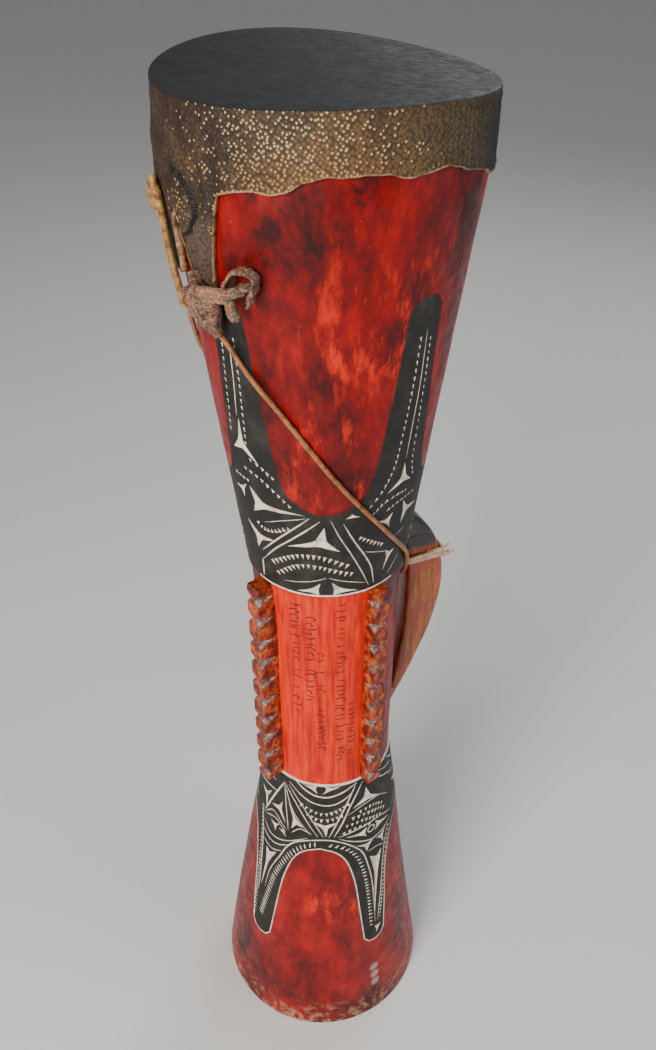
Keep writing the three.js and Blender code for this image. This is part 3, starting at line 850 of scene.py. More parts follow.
def triangulate(drawing):
    """Triangulates the drawing with a grid of plain points over the rest of the surface."""
    low_seam, high_seam = seam_places()
    taken = set()
    for a, b in drawing.edges:
        (ax, ay, _), (bx, by, _) = drawing.points[a], drawing.points[b]
        steps = max(1, math.ceil(math.hypot(bx - ax, by - ay) / 0.5))
        for i in range(steps + 1):
            x, y = lerp(ax, bx, i / steps), lerp(ay, by, i / steps)
            taken.add((round(x / CLEARANCE), round(y / CLEARANCE)))
    lookup = Lookup(drawing)
    points = [(x, y) for x, y, _ in drawing.points]
    edges = list(drawing.edges)
    stretches = (
        (FOOT_CHAMFER, PANEL_FOOT - STEP),
        (PANEL_FOOT, PANEL_TOP),
        (PANEL_TOP + STEP, RIM_HEIGHT),
    )
    for foot, top in stretches:
        rows = round((top - foot) / ROW)
        for j in range(rows + 1):
            y = lerp(foot, top, j / rows)
            fixed = j in (0, rows)
            row = []
            for i in range(COLUMNS + 1):
                x = lerp(low_seam, high_seam, i / COLUMNS)
                u, v = round(x / CLEARANCE), round(y / CLEARANCE)
                near = any((u + du, v + dv) in taken for du in (-1, 0, 1) for dv in (-1, 0, 1))
                if fixed or i in (0, COLUMNS) or not (near or lookup.at(x, y)[1] is not None):
                    row.append(len(points))
                    points.append((x, y))
            if fixed:
                edges += zip(row, row[1:])
    made = delaunay_2d_cdt([Vector(p) for p in points], edges, [], 0, 1e-4)
    return lookup, [tuple(p) for p in made[0]], made[2]


def carved_surface(drawing):
    """The outside of the log: points, triangles and finishes, with its two end rows."""
    lookup, flat, triangles = triangulate(drawing)
    low_seam, high_seam = seam_places()
    seam = {round(y, 3): i for i, (x, y) in enumerate(flat) if x < low_seam + 1e-3}
    index, verts = {}, []
    for i, (x, y) in enumerate(flat):
        if x > high_seam - 1e-3:
            continue
        index[i] = len(verts)
        bearing = FRONT + math.degrees(x / ROUND)
        depth, _ = lookup.at(x, y, 1e-4)
        marks = tool_marks(bearing, y) * smoothstep(y, 2, 14) * (1 - smoothstep(y, 570, 590))
        rise = rim_warp(bearing) * max(0.0, (y - RIM_WARP_FOOT) / (RIM_HEIGHT - RIM_WARP_FOOT))
        verts.append(around(bearing, wood_radius(y) - depth + min(marks, 0.12), y + rise))
    for i, (x, y) in enumerate(flat):
        if x > high_seam - 1e-3:
            index[i] = index[seam[round(y, 3)]]
    faces, finishes = [], []
    for triangle in triangles:
        face = tuple(index[i] for i in triangle)
        (ax, ay), (bx, by), (cx, cy) = (flat[i] for i in triangle)
        if len(set(face)) < 3 or abs((bx - ax) * (cy - ay) - (by - ay) * (cx - ax)) < 1e-5:
            continue
        x, y = (ax + bx + cx) / 3, (ay + by + cy) / 3
        _, finish = lookup.at(x, y)
        faces.append(face)
        finishes.append(finish_at(math.degrees(x / ROUND), y) if finish is None else finish)
    ends = []
    for height in (FOOT_CHAMFER, RIM_HEIGHT):
        row = [(flat[i][0], index[i]) for i in index if abs(flat[i][1] - height) < 1e-3]
        ends.append([i for x, i in sorted(row) if x < high_seam - 1e-3])
    return verts, faces, finishes, ends


def bore_radius(z):
    if z < BORE_FOOT:
        return lerp(FOOT_MOUTH_R, BORE_R, z / BORE_FOOT)
    if z < BORE_TOP:
        return BORE_R
    return lerp(BORE_R, RIM_MOUTH_R, (z - BORE_TOP) / (RIM_HEIGHT - BORE_TOP))


def log_shell():
    verts, faces, finishes, (foot_row, rim_row) = carved_surface(draw_all())
    bearings = [FRONT + SEAM + 360 * i / COLUMNS for i in range(COLUMNS)]

    def ring(radius, z, rough=0.0, warp=False):
        start = len(verts)
        for bearing in bearings:
            p = around(bearing, radius, z + (rim_warp(bearing) if warp else 0))
            swell = rough * (ripple(p, 16, 5) + 0.5 * ripple(p, 5, 6))
            verts.append(around(bearing, radius + swell, p.z))
        return list(range(start, start + COLUMNS))

    def bridge(lower, upper, finish, inward=False):
        for i in range(COLUMNS):
            j = (i + 1) % COLUMNS
            face = (lower[i], lower[j], upper[j], upper[i])
            faces.append(face[::-1] if inward else face)
            finishes.append(finish)

    rows = [ring(body_radius(0) - FOOT_CHAMFER, 0)]
    bridge(rows[0], foot_row, BARE)
    lower_heights = (0, 4, 14, 28, 45, 65, 88, 112, 138, 165, 195, 225)
    upper_heights = (260, 295, 330, 365, 400, 440, 480, 520, 560, 600)
    inner = [ring(bore_radius(z), z, rough=0.5 if z else 0.0) for z in lower_heights + upper_heights]
    inner.append(ring(RIM_MOUTH_R, RIM_HEIGHT, warp=True))
    bridge(inner[0], rows[0], BARE)
    for lower, upper in zip(inner, inner[1:]):
        bridge(lower, upper, BARE, inward=True)
    bridge(rim_row, inner[-1], BARE)
    return verts, faces, finishes


def rib_solid(bearing, crest):
    """A rib cut with pairs of chips that meet in the middle of its crest."""
    root = WAIST_R - 3
    foot, top = PANEL_FOOT + 1, PANEL_TOP - 1
    pitch = (top - foot) / RIB_NOTCHES
    half_width = RIB_WIDTH / 2
    verts, faces, finishes = [], [], []

    def vert(radius, across, z):
        verts.append(Vector((radius, across, z)))
        return len(verts) - 1

    def face(ids, finish):
        faces.append(tuple(ids))
        finishes.append(finish)

    random.seed(round(crest * 10))
    notches = []
    for i in range(RIB_NOTCHES):
        z = foot + pitch * (i + 0.5) + random.uniform(-0.5, 0.5)
        half = RIB_NOTCH_OPENING / 2 * random.uniform(0.9, 1.1)
        sides = {}
        for side in (-1, 1):
            sides[side] = {
                "low": vert(crest, side * half_width, z - half),
                "high": vert(crest, side * half_width, z + half),
                "deep": vert(WAIST_R + random.uniform(1.2, 2.2), side * half_width, z),
                "neck": vert(crest - 0.3, side * 0.25, z + random.uniform(-0.3, 0.3)),
            }
        notches.append(sides)
    ends = []
    for z in (foot, top):
        ends.append({side: [vert(r, side * half_width, z) for r in (crest - 0.6, root)] for side in (-1, 1)})
    at_foot, at_top = ends
    for side in (-1, 1):
        chain = [at_top[side][1], at_foot[side][1], at_foot[side][0]]
        for sides in notches:
            low, high, deep, neck = (sides[side][name] for name in ("low", "high", "deep", "neck"))
            chain += [low, deep, high]
            face((low, deep, neck)[::side], NOTCH)
            face((deep, high, neck)[::side], NOTCH)
        chain.append(at_top[side][0])
        face(chain[::-side], RIB)
    for here, above in zip(notches, notches[1:]):
        ring = [here[1]["neck"], here[1]["high"], above[1]["low"], above[1]["neck"]]
        ring += [above[-1]["neck"], above[-1]["low"], here[-1]["high"], here[-1]["neck"]]
        face(ring, RIB)
    right, left = notches[0][1], notches[0][-1]
    face([at_foot[1][0], right["low"], right["neck"], left["neck"], left["low"], at_foot[-1][0]], RIB)
    right, left = notches[-1][1], notches[-1][-1]
    face([right["high"], at_top[1][0], at_top[-1][0], left["high"], left["neck"], right["neck"]], RIB)
    face([at_foot[-1][0], at_foot[-1][1], at_foot[1][1], at_foot[1][0]], RIB)
    face([at_top[1][0], at_top[1][1], at_top[-1][1], at_top[-1][0]], RIB)
    face([at_foot[-1][1], at_top[-1][1], at_top[1][1], at_foot[1][1]], RIB)
    turn = Matrix.Rotation(math.radians(bearing), 3, "Z")
    return [turn @ v for v in verts], faces, finishes


def handle_outer(z):
    share = min(1.0, max(0.0, (z - HANDLE_FOOT) / (HANDLE_TOP - HANDLE_FOOT)))
    return body_radius(z) + HANDLE_REACH * math.sin(math.pi * share**1.5) ** 0.6


def handle_inner(z):
    share = min(1.0, max(0.0, (z - SLOT_FOOT) / (SLOT_TOP - SLOT_FOOT)))
    return body_radius(z) + SLOT_DEPTH * math.sin(math.pi * share**1.3) ** 0.5


def rounded_section(low, high, half, soft, steps):
    """The outline of a box from x = low to high and y = -half to half, its corners rounded."""
    outline = []
    for x, y, start in ((high, half, 0), (low, half, 90), (low, -half, 180), (high, -half, 270)):
        cx = x - soft if start in (0, 270) else x + soft
        cy = y - soft if start in (0, 90) else y + soft
        for k in range(steps + 1):
            turn = math.radians(start + 90 * k / steps)
            outline.append((cx + soft * math.cos(turn), cy + soft * math.sin(turn)))
    return outline


def handle_solid():
    """The handle as rounded slices, stacked from its foot to its top."""
    root = WAIST_R - 5
    corner = 3.4
    heights = [HANDLE_FOOT + 0.01 + 0.5 * i for i in range(12)]
    heights += [*np.arange(253, SLOT_FOOT, 2.0), *(SLOT_FOOT + up for up in (0, 0.02, 0.4, 1.2))]
    heights += np.arange(SLOT_FOOT + 3, SLOT_TOP - 3, 2.4).tolist()
    heights += [SLOT_TOP - down for down in (1.2, 0.4, 0.02, 0)]
    heights += [*np.arange(380, 392, 2.0), 393, 393.6, 393.98]
    verts, faces = [], []
    for z in heights:
        outer = handle_outer(z)
        inner = handle_inner(z) if SLOT_FOOT < z < SLOT_TOP else root
        section = rounded_section(inner, outer, HANDLE_WIDTH / 2, min(corner, (outer - inner) * 0.45), 5)
        for x, y in section:
            p = Vector((x, y, z))
            lump = 0.35 * ripple(p, 14, 9) + 0.12 * ripple(p, 4, 10)
            out = Vector((x - (outer + inner) / 2, y, 0)).normalized() if x > root + 1 else Vector()
            verts.append(p + out * (lump - 0.25))
    count = len(section)
    for start in range(0, len(verts) - count, count):
        for i in range(count):
            j = (i + 1) % count
            faces.append((start + i, start + j, start + count + j, start + count + i))
    faces.append(tuple(reversed(range(count))))
    faces.append(tuple(range(len(verts) - count, len(verts))))
    return verts, faces, [HANDLE] * len(faces)


def unite(base, other):
    """Joins two closed meshes into one solid."""
    modifier = base.modifiers.new("unite", "BOOLEAN")
    modifier.operation = "UNION"
    modifier.solver = "MANIFOLD"
    modifier.object = other
    apply_modifiers(base)
    bpy.data.objects.remove(other)


def read_all(items, name, width=1, kind=float):
    """One property of every vertex, loop or face of a mesh, as an array."""
    values = np.zeros(len(items) * width, dtype=kind)
    items.foreach_get(name, values)
    return values.reshape(-1, width) if width > 1 else values


def true_normals(obj):
    """Gives the lathe-like faces the form's own normals, and leaves cut faces as they are."""
    mesh = obj.data
    corner_count = read_all(mesh.polygons, "loop_total", kind=np.int32)
    kind = np.repeat(read_all(mesh.polygons, "material_index", kind=np.int32), corner_count)
    face_normal = np.repeat(read_all(mesh.polygons, "normal", 3), corner_count, axis=0)
    corner = read_all(mesh.loops, "vertex_index", kind=np.int32)
    place = read_all(mesh.vertices, "co", 3)[corner] / MM
    heights = np.linspace(0, RIM_HEIGHT + 8, 1300)
    slope = np.gradient(np.array([wood_radius(z) for z in heights]), heights)
    out = place[:, :2] / np.hypot(place[:, 0], place[:, 1])[:, None]
    smooth = np.column_stack([out, -np.interp(place[:, 2], heights, slope)])
    smooth /= np.linalg.norm(smooth, axis=1)[:, None]
    painted = np.isin(kind, (RED, PANEL_RED, BLACK, INK)) & (np.sum(smooth * face_normal, axis=1) > 0.93)
    cut = np.isin(kind, (LIME, NOTCH, RIB))
    normals = np.zeros((len(corner), 3))
    normals[painted] = 0.75 * smooth[painted] + 0.25 * face_normal[painted]
    normals[cut] = face_normal[cut]
    length = np.linalg.norm(normals, axis=1)
    normals[length > 0] /= length[length > 0][:, None]
    mesh.normals_split_custom_set(normals.tolist())


def drift_foot(obj):
    """Leans the lower cone a little off the drum's axis."""
    places = read_all(obj.data.vertices, "co", 3)
    drift = FOOT_DRIFT * (1 - np.clip(places[:, 2] / MM / FOOT_DRIFT_TOP, 0, 1) ** 2) * MM
    away = around(FOOT_DRIFT_BEARING, 1, 0)
    places[:, 0] += drift * away.x
    places[:, 1] += drift * away.y
    obj.data.vertices.foreach_set("co", places.ravel())
    obj.data.update()


def make_log():
    kinds = (red_paint, panel_paint, black_paint, lime, ink, bare_wood, handle_wood, rib_wood, notch_cut)
    materials = [kind() for kind in kinds]

    def part(name, solid):
        verts, faces, finishes = solid
        return make_object(name, verts, faces, materials, finishes)

    log = part("carved_log", log_shell())
    for bearing, crest in RIB_BEARINGS:
        unite(log, part("rib", rib_solid(bearing, crest)))
    unite(log, part("handle", handle_solid()))
    true_normals(log)
    drift_foot(log)
    stand_for(log, "painted_wood", "drum_body")
    return log


# ---- The skin head ----

SKIN_COLUMNS = 720
SKIRT_ROWS = 60
KNOT_HEIGHT = 541.5
TABS = (
    {"bearing": -163.0, "half": 11.0, "foot": 547.5, "drawn": 0.0},
    {"bearing": -192.0, "half": 13.0, "foot": 548.0, "drawn": 0.22},
)


def skirt_foot(bearing):
    """Height of the skirt's cut edge at a bearing."""
    front = bearing - PANEL
    plain = 587 + 4 * math.cos(math.radians(front - 30)) + 7 * math.cos(2 * math.radians(front - 22))
    plain += 1.2 * math.sin(math.radians(front) * 9) + 0.8 * math.sin(math.radians(front) * 17 + 1)
    ragged = plain + 0.7 * ripple(around(bearing, 60, 0), 5, 3)
    foot = ragged
    for tab in TABS:
        away = abs(turn_between(bearing, tab["bearing"])) / tab["half"]
        foot = min(foot, lerp(ragged, tab["foot"], 1 - smoothstep(away, 0.75, 1.3)))
    return foot


def skin_place(bearing, share, out):
    """A point of the skirt: `share` of the way down from the rim, `out` millimetres off the wood."""
    rim = RIM_HEIGHT + GAP + rim_warp(bearing)
    z = lerp(rim, skirt_foot(bearing), share)
    turned = bearing
    for tab in TABS:
        away = turn_between(bearing, tab["bearing"])
        if abs(away) < tab["half"] * 1.3:
            depth = min(1.0, max(0.0, (592 - z) / (592 - tab["foot"])))
            turned += turn_between(KNOT, tab["bearing"]) * tab["drawn"] * depth
            turned -= away * 0.42 * depth
    return around(turned, body_radius(min(z, RIM_HEIGHT)) + out, z), turned


def skin_lumps(p, bearing):
    """Folds and puckers of the dried skin, strongest where the tabs are drawn to the knot."""
    near_tabs = math.exp(-((turn_between(bearing, -172) / 26) ** 2))
    pleats = math.sin(math.radians(bearing) * 46 + 1.6 * ripple(p, 12, 14))
    from_front = turn_between(bearing, FRONT)
    ribbed = smoothstep(from_front, 20, 50) * smoothstep(from_front, 110, 80)
    lumps = 0.30 * ripple(p, 9, 13) + 0.16 * ripple(p, 2.6, 18)
    lumps += near_tabs * (0.40 * pleats + 0.6 * ripple(p, 7, 15))
    lumps += 0.16 * ribbed * math.sin(math.radians(bearing) * 150)
    lumps += 1.3 * math.exp(-((turn_between(bearing, -195) / 24) ** 2)) * smoothstep(p.z, 610, 598)
    return lumps + flap_fold(bearing, p.z)[0]


# The torn flap's edge beside the first tab, as (bearing, height).
FLAP_EDGE = (
    (-171.2, 592.6), (-166, 590.5), (-162, 587), (-160, 582),
    (-160.5, 577), (-165, 571), (-172.5, 564.5),
)


def flap_fold(bearing, z):
    """The torn flap beside the first tab: how far it stands up here, and how much painted shade its folded
    edge gets.
    """
    arc = 1.17  # length of a degree round the skirt
    x = (-180 + (bearing + 180) % 360) * arc
    nearest, over = 99.0, 0.0
    for (b1, z1), (b2, z2) in zip(FLAP_EDGE, FLAP_EDGE[1:]):
        dx, dz = (b2 - b1) * arc, z2 - z1
        from_x, from_z = x - b1 * arc, z - z1
        t = min(1.0, max(0.0, (from_x * dx + from_z * dz) / (dx * dx + dz * dz)))
        away = math.hypot(from_x - t * dx, from_z - t * dz)
        if away < nearest:
            nearest = away
            over = dx * from_z - dz * from_x
    raised = math.exp(-nearest / 3.0) if over < 0 else -0.6 * math.exp(-nearest / 1.2)
    # The first value is the real lift of the flap. The second is painted shade, near-black along the flap's
    # folded edge, because the slit is not cut open.
    return raised, min(1.0, 1.5 * math.exp(-((nearest / 0.8) ** 2)))


def make_skin():
    """The drumhead, its rolled rim and the skirt outside, and back up inside, ring by ring."""
    verts, faces, fold_shades, cuts = [], [], [], []
    bearings = [360 * i / SKIN_COLUMNS for i in range(SKIN_COLUMNS)]
    under = RIM_HEIGHT + GAP

    def ring(make):
        start = len(verts)
        for bearing in bearings:
            p, fold_shade, cut = make(bearing)
            verts.append(p)
            fold_shades.append(fold_shade)
            cuts.append(cut)
        return range(start, start + SKIN_COLUMNS)

    def drawn(radius):
        def make(bearing):
            p = around(bearing, radius, under + SKIN)
            share = (radius / RIM_MOUTH_R) ** 2 if radius < RIM_MOUTH_R else 1.0
            creases = 0.35 * ripple((p.x, p.y * 2.2, 0), 17, 16) + 0.12 * ripple((p.x, p.y * 1.6, 3), 5, 17)
            p.z += rim_warp(bearing) * share + creases * smoothstep(radius, 68, 60)
            p.z -= 0.25 * smoothstep(radius, 62, 68)
            return p, 0.0, 0.0

        return make

    def outside(share):
        def make(bearing):
            p, turned = skin_place(bearing, share, 0)
            fade = smoothstep(share, 0, 0.06)
            lip = 0.5 * smoothstep(share, 0.95, 0.985)
            out = GAP + SKIN + fade * max(-0.7, skin_lumps(p, turned)) + lip
            # Painted shade along the flap's folded edge, kept for each point for the skin's material.
            fold_shade = flap_fold(turned, p.z)[1]
            p = around(turned, body_radius(min(p.z, RIM_HEIGHT)) + out, p.z)
            return p, fold_shade, smoothstep(share, 0.965, 0.99)

        return make

    def inside(share):
        return lambda bearing: (skin_place(bearing, share, GAP)[0], 0.0, 1.0 if share > 0.97 else 0.0)

    def beneath(radius):
        warped = min(1, (radius / 58) ** 2)
        return lambda bearing: (around(bearing, radius, under + rim_warp(bearing) * warped), 0.0, 0.0)

    def shoulder(bearing):
        return around(bearing, RIM_R + GAP + SKIN, under + SKIN * 0.35 + rim_warp(bearing)), 0.0, 0.0

    radii = (4, 9, 14, 19, 24, 29, 34, 39, 44, 48, 52, 55.5, 58.5, 61, 63, 64.8, 66.2, 67.2, 68.0)
    rings = [ring(drawn(radius)) for radius in radii]
    rings.append(ring(shoulder))
    rings += [ring(outside(row / SKIRT_ROWS)) for row in range(1, SKIRT_ROWS + 1)]
    rings += [ring(inside(share)) for share in (1.0, 0.97, 0.85, 0.65, 0.45, 0.2, 0.0)]
    rings += [ring(beneath(radius)) for radius in (58, 30)]
    for upper, lower in zip(rings, rings[1:]):
        for i in range(SKIN_COLUMNS):
            j = (i + 1) % SKIN_COLUMNS
            faces.append((upper[j], upper[i], lower[i], lower[j]))
    verts += [Vector((0, 0, under + SKIN)), Vector((0, 0, under))]
    fold_shades += [0.0, 0.0]
    cuts += [0.0, 0.0]
    for i in range(SKIN_COLUMNS):
        j = (i + 1) % SKIN_COLUMNS
        faces.append((rings[0][i], rings[0][j], len(verts) - 2))
        faces.append((rings[-1][j], rings[-1][i], len(verts) - 1))
    skin = make_object("lizard_skin", verts, faces, [skin_finish()])
    # One attribute holds the painted shade along the flap's folded edge. The other holds the pale cut edge.
    for name, values in (("fold_shade", fold_shades), ("cut", cuts)):
        skin.data.attributes.new(name, "FLOAT", "POINT").data.foreach_set("value", values)
    stand_for(skin, "lizard_skin", "skin_head")
    return skin


def skin_scales(f, size, turn):
    """The skin's lattice of scales, unrolled: (distance from a scale's middle, a number for each scale)."""
    bearing = f.math("ARCTAN2", f.axes["Y"], f.axes["X"])
    flat = f.node("ShaderNodeCombineXYZ", f.times(bearing, RIM_R * MM), f.axes["Z"]).outputs[0]
    turned = f.node("ShaderNodeMapping", flat)
    turned.inputs["Rotation"].default_value = (0, 0, math.radians(turn))
    cells = f.node("ShaderNodeTexVoronoi", turned.outputs[0], voronoi_dimensions="2D")
    cells.inputs["Scale"].default_value = 1 / (size * MM)
    cells.inputs["Randomness"].default_value = 0.7
    number = f.node("ShaderNodeSeparateColor", cells.outputs["Color"])
    return cells.outputs["Distance"], number.outputs[0]


def skin_finish():
    """Dried lizard skin: charcoal on the drumhead, brown below, with golden scales, a pale cut edge and a
    painted shadow along the torn flap's folded edge.
    """
    f = Finish("skin_finish", roughness=0.55, specular=0.35)
    cut = f.node("ShaderNodeAttribute", attribute_name="cut").outputs["Fac"]
    # Painted shade along the torn flap's folded edge, as set in make_skin.
    fold_shade = f.node("ShaderNodeAttribute", attribute_name="fold_shade").outputs["Fac"]
    tone = f.noise(11, 6, 0.65, seed=91)
    f.under(tone, (0.34, 0.50, 0.66), (0.014, 0.0075, 0.0045), (0.044, 0.024, 0.013), (0.090, 0.050, 0.024))
    f.over(f.near(around(FRONT + 4, 68, 588), 30, 20), (0.21, 0.105, 0.035), 0.7)
    f.over(f.near(around(FRONT + 45, 68, 600), 24, 18), (0.13, 0.085, 0.030), 0.5)
    f.over(f.near(around(FRONT + 82, 68, 600), 28, 18), (0.024, 0.026, 0.032), 0.6)
    f.over(f.near(around(-158, 67, 566), 15, 8), (0.115, 0.075, 0.052), 0.7)
    inner, number = skin_scales(f, 1.55, 38)
    low = f.times(f.near(around(FRONT - 6, 68, 589), 36, 20), 0.95)
    high = f.times(f.near(around(FRONT - 16, 68, 608), 34, 26), 0.34)
    tabs = f.times(f.near(around(-169, 67, 579), 9, 5), 0.45)
    clumps = f.span(f.noise(7, 4, 0.7, seed=98), 0.38, 0.60, 0.25, 1.1)
    share = f.times(f.math("MAXIMUM", f.math("MAXIMUM", low, high), tabs), clumps)
    golden = f.times(f.span(inner, 0.31, 0.19), f.math("LESS_THAN", number, share))
    f.over(f.span(inner, 0.30, 0.62), (0.010, 0.006, 0.004), 0.6)
    gold = f.ramp(f.noise(5, 3, seed=92), (0.35, 0.65), (0.33, 0.15, 0.030), (0.56, 0.36, 0.11))
    f.over(golden, f.mix(f.span(f.axes["Z"], 0.598, 0.608), gold, (0.50, 0.42, 0.23)))
    worn = f.span(f.noise(6, 4, seed=99), 0.38, 0.60, 0.15, 0.9)
    f.over(cut, f.mix(f.noise(2, 4, seed=93), (0.34, 0.16, 0.06), (0.56, 0.36, 0.19)), worn)
    # Painted shadow: near-black laid along the flap's folded edge.
    f.over(fold_shade, (0.004, 0.003, 0.003))
    top_tone = f.noise(9, 7, 0.7, stretch=(1, 1.8, 1), seed=94)
    charcoal = ((0.007, 0.007, 0.0075), (0.013, 0.0128, 0.0138), (0.024, 0.023, 0.0235))
    facing = f.node("ShaderNodeSeparateXYZ", f.node("ShaderNodeNewGeometry").outputs["Normal"]).outputs["Z"]
    on_top = f.times(f.span(facing, 0.55, 0.85), f.span(f.axes["Z"], 0.600, 0.606))
    f.over(on_top, f.ramp(top_tone, (0.34, 0.52, 0.70), *charcoal))
    f.roughness(f.noise(4, 4, seed=95), 0.3, 0.7, 0.50, 0.75)
    beads = f.times(inner, f.math("SUBTRACT", 1.0, on_top))
    creases = f.noise(6, 5, 0.6, stretch=(1, 1.8, 1), seed=96)
    return f.done((creases, 0.5), (beads, -0.35), (f.noise(0.9, 3, seed=97), 0.06))


# ---- The knot ----


def tube(path, radius, sides=10, flat=1.0, up=None):
    """A closed tube along a path. `radius` may be a function of the share of the way along."""
    path = [Vector(p) for p in path]
    verts, faces = [], []
    last = len(path) - 1
    side = None
    for i, here in enumerate(path):
        along = (path[min(i + 1, last)] - path[max(i - 1, 0)]).normalized()
        if side is None:
            up = up or Vector((0, 0, 1) if abs(along.z) < 0.9 else (1, 0, 0))
            side = up.cross(along).normalized()
        side = (side - along * side.dot(along)).normalized()
        other = along.cross(side)
        size = radius(i / last) if callable(radius) else radius
        for k in range(sides):
            turn = 2 * math.pi * k / sides
            verts.append(here + side * size * math.cos(turn) + other * size * flat * math.sin(turn))
    for i in range(last):
        for k in range(sides):
            m = (k + 1) % sides
            a, b = i * sides, (i + 1) * sides
            faces.append((a + k, a + m, b + m, b + k))
    faces.append(tuple(reversed(range(sides))))
    faces.append(tuple(range(last * sides, (last + 1) * sides)))
    return verts, faces


def joined(*solids):
    verts, faces = [], []
    for more_verts, more_faces in solids:
        start = len(verts)
        verts += more_verts
        faces += [tuple(i + start for i in face) for face in more_faces]
    return verts, faces


def ellipsoid(centre, sizes, columns=24, rows=14):
    verts, faces = [Vector((0, 0, -1))], []
    for j in range(1, rows):
        tilt = math.pi * j / rows - math.pi / 2
        for i in range(columns):
            turn = 360 * i / columns
            verts.append(around(turn, math.cos(tilt), math.sin(tilt)))
    verts.append(Vector((0, 0, 1)))
    for i in range(columns):
        j = (i + 1) % columns
        faces.append((0, 1 + j, 1 + i))
        for row in range(rows - 2):
            a, b = 1 + row * columns, 1 + (row + 1) * columns
            faces.append((a + i, a + j, b + j, b + i))
        top = 1 + (rows - 2) * columns
        faces.append((top + i, top + j, len(verts) - 1))
    scaled = [Vector((v.x * sizes[0], v.y * sizes[1], v.z * sizes[2])) + Vector(centre) for v in verts]
    return scaled, faces


def fuse(obj, voxel, smoothing=2):
    """Melts overlapping closed forms into one skin."""
    melt = obj.modifiers.new("melt", "REMESH")
    melt.mode = "VOXEL"
    melt.voxel_size = voxel * MM
    ease = obj.modifiers.new("ease", "SMOOTH")
    ease.factor = 0.5
    ease.iterations = smoothing
    apply_modifiers(obj)
    obj.data.polygons.foreach_set("use_smooth", np.ones(len(obj.data.polygons), dtype=bool))
    return obj


def wrinkle(obj, layers):
    """Moves every point along its normal by noise layers of (size, depth, seed, ridged)."""
    mesh = obj.data
    normals = [v.normal.copy() for v in mesh.vertices]
    for v, normal in zip(mesh.vertices, normals):
        p = v.co / MM
        move = 0.0
        for size, depth, seed, ridged in layers:
            value = ripple(p, size, seed)
            move += depth * (1 - 2 * abs(value)) if ridged else depth * value
        v.co += normal * move * MM
    mesh.update()


def knot_place(p):
    """From the knot's own (out, across, up) to the drum."""
    out, across, up = p
    z = KNOT_HEIGHT + up
    bearing = KNOT + math.degrees(across / (body_radius(z) + 4))
    return around(bearing, body_radius(z) + out, z)


def ribbon(path, width, thickness):
    """A strip of skin on edge: its path is (across, up), its width stands out from the wood."""
    line = smooth_line(path, 0.8)
    verts, faces = [], []
    last = len(line) - 1
    for i, (across, up) in enumerate(line):
        before, after = line[max(i - 1, 0)], line[min(i + 1, last)]
        along = (after - before) / float(np.linalg.norm(after - before))
        side = np.array((-along[1], along[0])) * thickness / 2
        swing = 0.8 * math.sin(i * 0.5)
        for out, sign in ((2.0, 1), (2.0 + width, 1), (2.0 + width, -1), (2.0, -1)):
            verts.append(Vector((out + swing * (out > 3), across + sign * side[0], up + sign * side[1])))
    for i in range(last):
        for k in range(4):
            m = (k + 1) % 4
            faces.append((4 * i + k, 4 * i + m, 4 * i + 4 + m, 4 * i + 4 + k))
    faces.append((3, 2, 1, 0))
    faces.append(tuple(4 * last + k for k in range(4)))
    return verts, faces


def make_knot():
    pouch = [(6.2, -3.5, 7), (7.0, -4, 2), (6.2, -4.2, -4), (4.8, -3.6, -9), (3.6, -2.8, -13.5)]

    def pouch_size(t):
        return float(np.interp(t, (0, 0.25, 0.5, 0.75, 1.0), (6.6, 8.2, 7.6, 5.0, 2.4)))

    body = tube(smooth_line(pouch, 1.2), pouch_size, 24, flat=0.62, up=Vector((1, 0, 0)))
    band = [(5, -8, 8), (10, -2, 9.4), (11.2, 5, 10.8), (10.4, 12, 11.8), (6.5, 17, 12.4)]
    under = [(6, -7, 4.0), (9.2, 0, 5.6), (9.4, 7, 7.4), (8.0, 13, 8.4)]
    tab_strip = [(3.5, -24, 0), (5, -18, -1.5), (6.5, -11, 1), (7, -6, 4)]
    upper_strip = [(3, -13, 11), (5, -9, 8.5), (7.5, -3, 8)]
    rolled = [(8, 11.6, 9), (9.2, 12.4, 5.6), (8.4, 12.2, 2.4), (7.6, 12, 0.6)]
    strips = (
        (band, 2.2, 12, 0.9),
        (under, 1.7, 12, 0.75),
        (tab_strip, lambda t: 2.6 + 1.2 * t, 12, 0.6),
        (upper_strip, 2.6, 12, 0.6),
        (rolled, lambda t: 1.8 + 0.7 * t, 14, 1.0),
    )
    bow = [(9.5, 11), (10.5, 15), (13, 18.8), (16.5, 20.8), (20, 20), (22.3, 17.6), (21.2, 14.8), (18, 13.8)]
    bow.append((13.5, 12.8))
    tail = [(21.6, 16), (21.0, 12.4), (18.8, 10), (18.4, 6)]
    tubes = [tube(smooth_line(path, 1), size, sides, flat) for path, size, sides, flat in strips]
    verts, faces = joined(body, *tubes, ribbon(bow, 6.5, 1.0), ribbon(tail, 5.5, 1.1))
    knot = make_object("skin_knot_tied", verts, faces, [knot_finish()])
    fuse(knot, 0.38, 2)
    wrinkle(knot, ((5, 0.4, 21, False), (2.0, 0.34, 22, True), (0.9, 0.14, 23, False)))
    for vertex in knot.data.vertices:
        out, across, up = vertex.co / MM
        vertex.co = knot_place((max(out, 0.6), across, up)) * MM
    knot.data.update()
    stand_for(knot, "dried_skin", "skin_knot")


